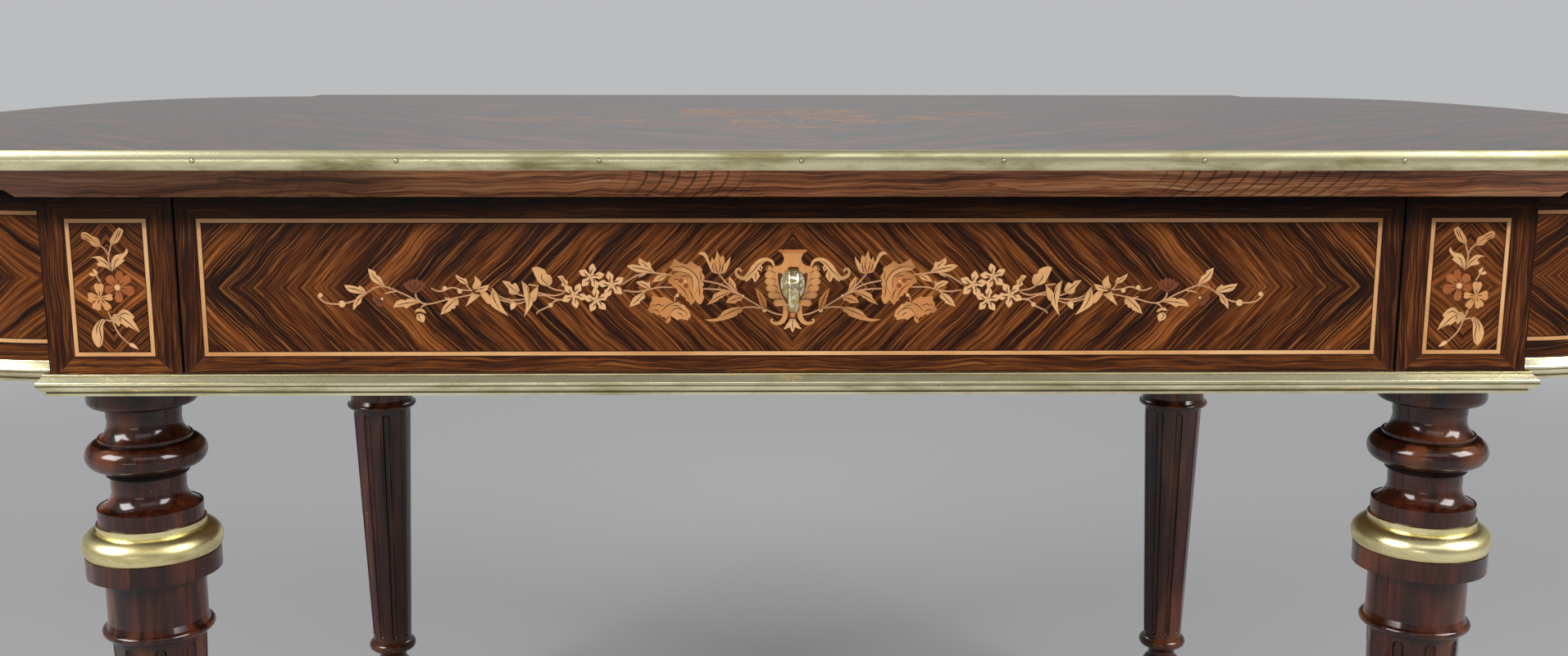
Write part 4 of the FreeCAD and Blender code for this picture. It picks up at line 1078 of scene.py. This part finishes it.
def lay_inlay(name, body, sheets):
    """Set drawn meshes on their faces, each by a matrix from millimetres, as one piece on a body."""
    whole = bmesh.new()
    for mesh, matrix in sheets:
        sheet = mesh.copy()
        sheet.transform(matrix)
        if matrix.is_negative:
            sheet.flip_normals()
        whole.from_mesh(sheet)
        bpy.data.meshes.remove(sheet)
    saw = whole.faces.layers.int["saw_line"]
    for face in whole.faces:
        face.material_index = face[saw]
    mesh = bpy.data.meshes.new(name)
    whole.to_mesh(mesh)
    whole.free()
    mesh.materials.append(inlay_finish)
    mesh.materials.append(saw_line)
    piece = bpy.data.objects.new(name, mesh)
    bpy.context.scene.collection.objects.link(piece)
    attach(piece, body)
    return piece


def on_face(across, up, out, origin):
    """Matrix that carries a drawing in millimetres to a face, given the face's directions."""
    millimetre = 0.001
    turn = Matrix((across, up, out)).transposed() * millimetre
    return Matrix.Translation(origin) @ turn.to_4x4()


spray_height = 0.6597
spray = half_spray()
drawer_drawing = drawn_mesh("drawer_drawing", cartouche() + spray + mirrored(spray))
jasmine = [
    (-134.9, 8.8, 1.0, 80.0),
    (-121.4, 3.3, 1.04, 100.0),
    (-146.5, -3.8, 1.0, 60.0),
    (-131.6, -7.1, 0.98, 95.0),
]
jasmine += [(-x, y, size, 180.0 - turn) for x, y, size, turn in jasmine]
drawer_flowers = open_flowers(jasmine, 8.6)
front = on_face((1, 0, 0), (0, 0, 1), (0, -1, 0), (0, -frieze_face, spray_height))
lay_inlay("drawer_marquetry", "drawer", [(drawer_drawing, front), (drawer_flowers, front)])
behind = on_face((-1, 0, 0), (0, 0, 1), (0, 1, 0), (0, frieze_face, spray_height))
lay_inlay("back_marquetry", "table", [(drawer_drawing, behind), (drawer_flowers, behind)])


# Marquetry of the corner blocks. One flowering twig in each frame, drawn for the right front block
# and turned over for the left, so that the twigs on either side of the drawer lean together.

def round_petals(middle, notch, tones, petals):
    """Petals round a flower's middle, each given by its turn in degrees, its length and its width."""
    flower = []
    for number, (turn, reach, width) in enumerate(petals):
        half = [(0.4, 0.32), (0.76, 0.5), (0.98, 0.3)]
        egg = [(0, 0), *[(x, -y) for x, y in half], (notch, 0), *reversed(half)]
        petal = lobe([(x * reach, y * width) for x, y in egg], tones[number % 2])
        petal += vein((1.4, 0), (reach * 0.32, 0), (reach * 0.5, 0))
        flower += moved(petal, 1.0, turn, middle)
    return flower


def twig():
    """A branch with two large leaves at its foot, an open flower over a paler one, and two buds."""
    pieces = cut([(-9.5, -37.5), (-12.5, -37.5), (-16, -41.5)], [(-10.5, -39.5), (-13.5, -41)], 0.2)
    pieces += stem((-10, -38), (-3.5, -31), (0, -22.5), (2.5, -16)) + stem((0.5, -22.5), (4.5, -21.5))
    pieces += stem((-1, 14.5), (-0.5, 21), (-3, 29.5)) + stem((-0.5, 21.5), (1, 25.5), (4.5, 29))
    pieces += stem((6, 4), (8.5, 8.5))
    pieces += cut(
        [(0, -23), (-2, -24), (-4, -26), (-5.5, -24), (-9.5, -27), (-10, -26), (-17.5, -30)],
        [(0.5, -20), (-1.5, -17.5), (-3.5, -17.5), (-7, -14.5), (-11, -15.5), (-14.5, -19.5), (-13.5, -21.5),
         (-15.5, -25)],
        0.32,
        [(-16, -29), (-9.5, -22.5), (-5, -19)],
        [(-12, -18.5), (-8, -17), (-3.5, -19.5)],
        [(-5.5, -23), (-5, -21), (-6, -19.5)],
    )
    pieces += cut(
        [(4.5, -22), (7, -21), (11.5, -24.5), (14.5, -31), (13.5, -37), (11, -40.5)],
        [(6.5, -25.5), (7, -32.5), (8.5, -38.5)],
        0.32,
        [(6.5, -22), (9, -27), (8.5, -34), (10, -39)],
        [(8, -22), (11, -27), (11, -31)],
    )
    pieces += cut(
        [(-2, 11), (-4.5, 13.5), (-11, 18.5), (-10, 19.5), (-13.5, 24), (-13, 27)],
        [(-2, 17), (-5, 22), (-10.5, 23.5)],
        0.30,
        [(-7.5, 20), (-5, 18), (-3, 12)],
    )
    pieces += cut(
        [(-1.5, 11.5), (0.5, 17.5), (5, 21.5), (11.5, 20.5)],
        [(2, 14), (6.5, 15), (7.5, 16.5), (6, 17.5), (8, 20)],
        0.34,
        [(0, 14.5), (2, 17), (6.5, 20)],
    )
    pieces += lobe(
        [(-3, 29.5), (-7.5, 31), (-11.5, 38), (-10, 40), (-8, 40), (-2.5, 32.5)],
        0.40,
        [(-8.5, 39), (-6.5, 34), (-5, 31.5)],
        [(-10, 39), (-7.5, 33.5)],
    )
    pieces += lobe(
        [(4.5, 28.5), (5, 33), (9, 35), (13, 37.5), (16, 37), (16, 33.5), (12.5, 32), (8.5, 28)],
        0.46,
        [(7, 30.5), (12, 35), (15.5, 36)],
        [(10, 31.5), (16, 35)],
    )
    pieces += cut([(8, 8.5), (7.5, 11), (10.5, 13.5)], [(9.5, 9.5)], 0.26)
    pieces += cut([(8.5, 8.5), (11.5, 10.5), (13, 9)], [(11, 8)], 0.26)
    dark_petals = [(102, 11, 5), (50, 9.5, 6), (-13, 8.5, 5.5), (-93, 10, 5.5), (196, 11, 7), (140, 11, 5.5)]
    pieces += round_petals((-5, 0.5), 1.02, (0.82, 0.79), dark_petals)
    pale_petals = [(87, 10, 6.5), (3, 8.5, 6.5), (-65, 9, 6), (-124, 10, 5), (177, 8.5, 4.5)]
    pieces += round_petals((7, -6.5), 0.93, (0.46, 0.50), pale_petals)
    return pieces + ball((-5, 0.5), 2.0, 0.16) + ball((7, -6.5), 1.4, 0.56)


twig_drawing = drawn_mesh("twig_drawing", twig())
block_sheets = []
for side in (-1, 1):
    for end in (-1, 1):
        spot = (side * block_x, end * frieze_face, string_middle)
        block_sheets.append((twig_drawing, on_face((side, 0, 0), (0, 0, 1), (0, end, 0), spot)))
lay_inlay("block_marquetry", "table", block_sheets)


# Top. A slab veneered like the frieze with a bouquet in its middle, on a pine core, with a bevelled
# rosewood lipping under its edge. French-polished, so it mirrors the room at a low angle.

top_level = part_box("top_panel")[1].z
slab_level = 0.7405
top_finish, (x, y, z) = new_finish("top_veneer")
run, lift = abs(x), abs(y)
quarter = x.maths("SIGN", x) * 0.05 + y.maths("SIGN", y) * 0.05
along = (run - lift) * diagonal
across = (run + lift) * diagonal
colour, open_grain, figure = rosewood(along, across, quarter, veneer_shades, 50.0, 330.0, 0.55, 0.3)
underside = 1.0 - z.rise(slab_level, slab_level + 0.001)
raw = speckle(x * 3.0, y * 90.0, z * 90.0, 3.0, 0.6, 0.5).ramp(pine_shades)
cloth_marks = speckle(x * 14.0, y * 22.0, z, 4.0, 0.6)
dress(
    top_finish,
    base_color=underside.tint(colour, raw),
    roughness=(0.28 + cloth_marks * 0.10).towards(0.7, underside),
    coat_weight=1.0 - underside,
    coat_roughness=0.09,
    normal=ripple(open_grain, 0.06, 0.0002),
)
put_on(top_finish, "top_panel")

lipping_low, lipping_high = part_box("top_lipping_front")
# Paler than the veneer's shades: the rosewood's own figure, lightened as painted light on the bevel that
# faces down
lipping_shades_with_painted_light = [
    (0.36, ink(46, 21, 14)),
    (0.45, ink(158, 90, 56)),
    (0.54, ink(232, 150, 98)),
    (0.64, ink(250, 194, 144)),
]


def lipping(name, direction):
    """Rosewood with its grain along one axis, 0 or 1, rubbed pale along the lower arris.

    Here and there its growth rings cross the strip as dark arches.
    """
    material, (x, y, z) = new_finish(name)
    along, into = (x, y) if direction == 0 else (y, x)
    colour, open_grain, figure = rosewood(along, z, into * 0.1, lipping_shades_with_painted_light, 150.0, 620.0)
    dark_heart = speckle(along * 2.6 + 5.3, z * 20.0, into * 2.0, 2.0, 0.5).rise(0.47, 0.60)
    colour = (dark_heart * 0.6).tint(colour, ink(56, 34, 28))
    bend = (lipping_high.z - z) * 60.0
    arches = 1.0 - along.maths("PINGPONG", along * 95.0 + bend * bend, 0.5).rise(0.03, 0.14)
    arched = speckle(along * 3.1 + 0.37, into * 2.0, 0.0, 1.0, 0.5).rise(0.52, 0.60)
    colour = (arches * arched * 0.75).tint(colour, ink(40, 22, 16))
    rubbed = even_speckle((x, y, z), 60.0, 4.0, 0.7).rise(0.42, 0.60)
    worn = (1.0 - z.rise(lipping_low.z + 0.0002, lipping_low.z + 0.0012)) * rubbed
    dress(
        material,
        base_color=(worn * 0.7).tint(colour, ink(206, 150, 104)),
        roughness=0.32 + figure * 0.14,
        specular_ior_level=0.05,
        coat_weight=0.5,
        coat_roughness=0.24,
        normal=ripple(open_grain, 0.12, 0.0002),
    )
    return material


put_on(lipping("long_lipping", 0), "top_lipping_front", "top_lipping_back")
put_on(lipping("end_lipping", 1), "top_lipping_left", "top_lipping_right")


def bouquet():
    """A loose bunch tied at the front, with three sprigs that stray from it, drawn at a third of its size."""
    pieces = []
    stalk_ends = [(-4, 6), (15, -12), (-19, -10), (9, 20), (-16, 20)]
    stalk_ends += [(58, 4), (-64, -26), (-38, -34), (40, -26)]
    for end in stalk_ends:
        pieces += stem((2, -62), (end[0] * 0.45 + 2, -46 + end[1] * 0.3), end)
    for number in range(11):
        turn = math.radians(-60 + 27 * number)
        root = (math.cos(turn) * 14, math.sin(turn) * 14 - 4)
        tip = (math.cos(turn) * 33, math.sin(turn) * 31 - 4)
        pieces += leaf(root, tip, 6.0 + number % 3, 0.10 if number % 2 else -0.10, 0.30 + 0.04 * (number % 4))
    for base, tip, width, bend, tone in (
        ((2, -56), (-13, -68), 5.0, 0.1, 0.34),
        ((3, -56), (18, -70), 5.4, -0.1, 0.36),
        ((52, 0), (46, 12), 5.0, 0.1, 0.34),
        ((56, -2), (68, -10), 5.0, 0.1, 0.34),
        ((-58, -27), (-52, -14), 5.0, 0.1, 0.34),
        ((-60, -29), (-70, -38), 5.0, -0.1, 0.34),
    ):
        pieces += leaf(base, tip, width, bend, tone, 2)
    pieces += rose((15, -12), 1.0, -20) + rose((-19, -10), 0.95, 160) + poppy((-3, 8), 1.15, 10)
    pieces += tulip((9, 21), 0.9, -16) + tulip((-16, 21), 0.85, 24) + poppy((59, 6), 0.8, -40)
    pieces += tulip((-63, -26), 1.0, 70)
    return pieces + bud((-37, -34), (-48, -39), 6.0, 0.42) + bud((39, -26), (51, -30), 6.0, 0.44)


bouquet_drawing = drawn_mesh("bouquet_drawing", moved(bouquet(), 3.0, 0.0, (0, 10)))
top_blossoms = [
    (66, -92, 2.4, 20.0),
    (-72, 70, 2.4, 50.0),
    (-26, -106, 2.2, 80.0),
    (60, 66, 2.2, 10.0),
    (120, -40, 2.0, 65.0),
]
bouquet_flowers = open_flowers(top_blossoms, 9.0)
table_top = on_face((1, 0, 0), (0, 1, 0), (0, 0, 1), (-0.006, 0, top_level))
bouquet_sheets = [(bouquet_drawing, table_top), (bouquet_flowers, table_top)]
laid_bouquet = lay_inlay("top_marquetry", "table", bouquet_sheets)
for slot, finish in zip(laid_bouquet.material_slots, sawn_woods("polished_marquetry", 1.0, 0.6)):
    slot.material = finish


# Brass pins. Round-headed pins driven through the brass band into the slab's edge, about a hand's
# breadth apart, their heads filed down and polished with the band.

def pin_tree():
    """Geometry Nodes: pin heads along the band's line, facing outwards."""
    line, spacing, radius, rise, metal = start_tree(
        "brass_pins",
        Line="Geometry",
        Spacing="Float",
        Radius="Float",
        Rise="Float",
        Brass="Material",
    )
    head = radius.node("GeometryNodeMeshUVSphere", {}, {"Segments": 12, "Rings": 6, "Radius": radius})
    flatness = rise.maths("DIVIDE", rise, radius)
    flat = radius.node("ShaderNodeCombineXYZ", {}, {"X": 1.0, "Y": 1.0, "Z": flatness})
    head = head.node("GeometryNodeTransform", {}, {"Geometry": head, "Scale": flat})
    path = line.node("GeometryNodeMeshToCurve", {}, {"Mesh": line})
    spots = path.node("GeometryNodeCurveToPoints", {"mode": "LENGTH"}, {"Curve": path, "Length": spacing})
    tangent = Port(spots.tree, spots.socket.node.outputs["Tangent"])
    upwards = (0.0, 0.0, 1.0)
    outwards = tangent.node("ShaderNodeVectorMath", {"operation": "CROSS_PRODUCT"}, {0: tangent, 1: upwards})
    facing = outwards.node("FunctionNodeAlignRotationToVector", {"axis": "Z"}, {"Vector": outwards})
    driven = {"Points": spots, "Instance": head, "Rotation": facing}
    pins = spots.node("GeometryNodeInstanceOnPoints", {}, driven)
    pins = pins.node("GeometryNodeRealizeInstances", {}, {"Geometry": pins})
    pins = pins.node("GeometryNodeSetShadeSmooth", {}, {"Geometry": pins})
    return end_tree(pins.node("GeometryNodeSetMaterial", {}, {"Geometry": pins, "Material": metal}))


def arc_points(centre_x, centre_y, radius, start, end, count):
    """Points round an arc from one turn to another, in degrees."""
    points = []
    for step in range(count + 1):
        turn = math.radians(start + (end - start) * step / count)
        points.append((centre_x + radius * math.cos(turn), centre_y + radius * math.sin(turn)))
    return points


band_low, band_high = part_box("top_brass_front")
band_level = (band_low.z + band_high.z) / 2
band_side = band_high.x
band_face = -band_low.y
overhang = band_face - frieze_face
pin_spacing = 0.1205
run_start, run_end = 0.018, 0.008
last_angle = 84
quick_radius = shoulder_radius + overhang
right_end = arc_points(shoulder_x, -shoulder_y, quick_radius, -last_angle, -join_angle, 16)
right_end += arc_points(crown_x, 0, crown_radius + overhang, -join_angle, join_angle, 24)[1:]
right_end += arc_points(shoulder_x, shoulder_y, quick_radius, join_angle, last_angle, 16)[1:]
runs = [
    [(-band_side + run_start, -band_face), (band_side - run_end, -band_face)],
    [(band_side - run_start, band_face), (-band_side + run_end, band_face)],
    right_end,
    [(-x, -y) for x, y in right_end],
]
pin_line = bpy.data.meshes.new("pin_line")
corners, edges = [], []
for run in runs:
    edges += [(len(corners) + step, len(corners) + step + 1) for step in range(len(run) - 1)]
    corners += [(x, y, band_level) for x, y in run]
pin_line.from_pydata(corners, edges, [])
# A dark flat ring round each pin head, mottled between two darks
rim_dark_ring, place = new_finish("pin_rim_dark_ring")
ring_mottle = even_speckle(place, 800.0)
dress(rim_dark_ring, base_color=ring_mottle.tint(ink(70, 58, 34), ink(40, 32, 20)), roughness=0.6)
pin_finder = pin_tree()
for name, radius, rise, finish in (
    ("band_pins", 0.0013, 0.00030, moulded_brass),
    ("band_pin_rims", 0.0017, 0.00016, rim_dark_ring),
):
    heads = run_tree(pin_finder, pin_line, Spacing=pin_spacing, Radius=radius, Rise=rise, Brass=finish)
    pins = bpy.data.objects.new(name, heads)
    bpy.context.scene.collection.objects.link(pins)
    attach(pins, "table")


# Studio. A pale floor that runs into a pale background, soft light from large panels, and the
# camera where the photograph was taken from: close, just above the top, and looking a little down.

def ray_kinds(tree):
    """Whether a ray comes from the camera, and whether it was mirrored."""
    rays = tree.nodes.new("ShaderNodeLightPath").outputs
    return [Port(tree, rays[name]) for name in ("Is Camera Ray", "Is Glossy Ray")]


reach = 9
floor_mesh = bpy.data.meshes.new("floor")
corners = [(-reach, -reach, 0), (reach, -reach, 0), (reach, reach, 0), (-reach, reach, 0)]
floor_mesh.from_pydata(corners, [], [(0, 1, 2, 3)])
floor = bpy.data.objects.new("floor", floor_mesh)
bpy.context.scene.collection.objects.link(floor)
floor_finish, (x, y, z) = new_finish("pale_floor")
seen, mirrored_back = ray_kinds(floor_finish.node_tree)
shown = seen.larger(mirrored_back)
fade_start, fade_end = 2.0, 14.0
far_off = (x * x + y * y).rise(fade_start, fade_end)
dress(
    floor_finish,
    base_color=far_off.tint(shown.tint(ink(120, 120, 120), ink(176, 176, 177)), ink(0, 0, 0)),
    roughness=0.8,
    specular_ior_level=0.0,
    emission_color=(far_off * shown).tint(ink(0, 0, 0), ink(188, 189, 190)),
    emission_strength=1.0,
)
floor_mesh.materials.append(floor_finish)

scene = bpy.context.scene
world = bpy.data.worlds.new("studio")
world.use_nodes = True
background = world.node_tree.nodes["Background"]
background.inputs["Color"].default_value = ink(226, 227, 229)
scene.world = world
seen, mirrored_back = ray_kinds(world.node_tree)
light_level, seen_more, mirrored_more = 0.20, 0.46, 0.14
brightness = seen * seen_more + mirrored_back * mirrored_more + light_level
world.node_tree.links.new(brightness.socket, background.inputs["Strength"])


def soft_panel(name, place, target, width, height, power):
    """A rectangular lamp turned towards a target."""
    lamp = bpy.data.lights.new(name, "AREA")
    lamp.shape = "RECTANGLE"
    lamp.size = width
    lamp.size_y = height
    lamp.energy = power
    panel = bpy.data.objects.new(name, lamp)
    panel.location = place
    panel.rotation_euler = (Vector(target) - Vector(place)).to_track_quat("-Z", "Y").to_euler()
    scene.collection.objects.link(panel)


soft_panel("left_panel", (-2.6, -1.6, 2.4), (0, 0, 0.6), 1.8, 1.6, 118)
soft_panel("right_panel", (2.6, -1.6, 2.4), (0, 0, 0.6), 1.8, 1.6, 114)
soft_panel("front_panel", (0.3, -3.0, 2.7), (0, 0, 0.7), 2.6, 1.2, 10)
soft_panel("back_panel", (0, 3.0, 3.2), (0, 0, 0.6), 2.0, 1.0, 42)
soft_panel("window_panel", (-1.2, -3.9, 0.57), (-0.3, 0, 0.7), 1.6, 0.34, 5)

photo_width = 1913
focal_pixels = 1947.55
sensor_width = 36.0
camera_place = (-0.0222, -1.4523, 0.833)
yaw, pitch, roll = 0.01554, 0.18648, 0.00124
ahead = Vector((math.sin(yaw) * math.cos(pitch), math.cos(yaw) * math.cos(pitch), -math.sin(pitch)))
right = Vector((math.cos(yaw), -math.sin(yaw), 0))
down = ahead.cross(right)
tilted_right = right * math.cos(roll) - down * math.sin(roll)
tilted_down = right * math.sin(roll) + down * math.cos(roll)
lens = bpy.data.cameras.new("camera")
lens.sensor_width = sensor_width
lens.lens = sensor_width * focal_pixels / photo_width
lens.clip_start = 0.05
camera = bpy.data.objects.new("camera", lens)
turn = Matrix((tilted_right, -tilted_down, -ahead)).transposed()
camera.matrix_world = Matrix.Translation(camera_place) @ turn.to_4x4()
scene.collection.objects.link(camera)
scene.camera = camera
scene.view_settings.view_transform = "Standard"
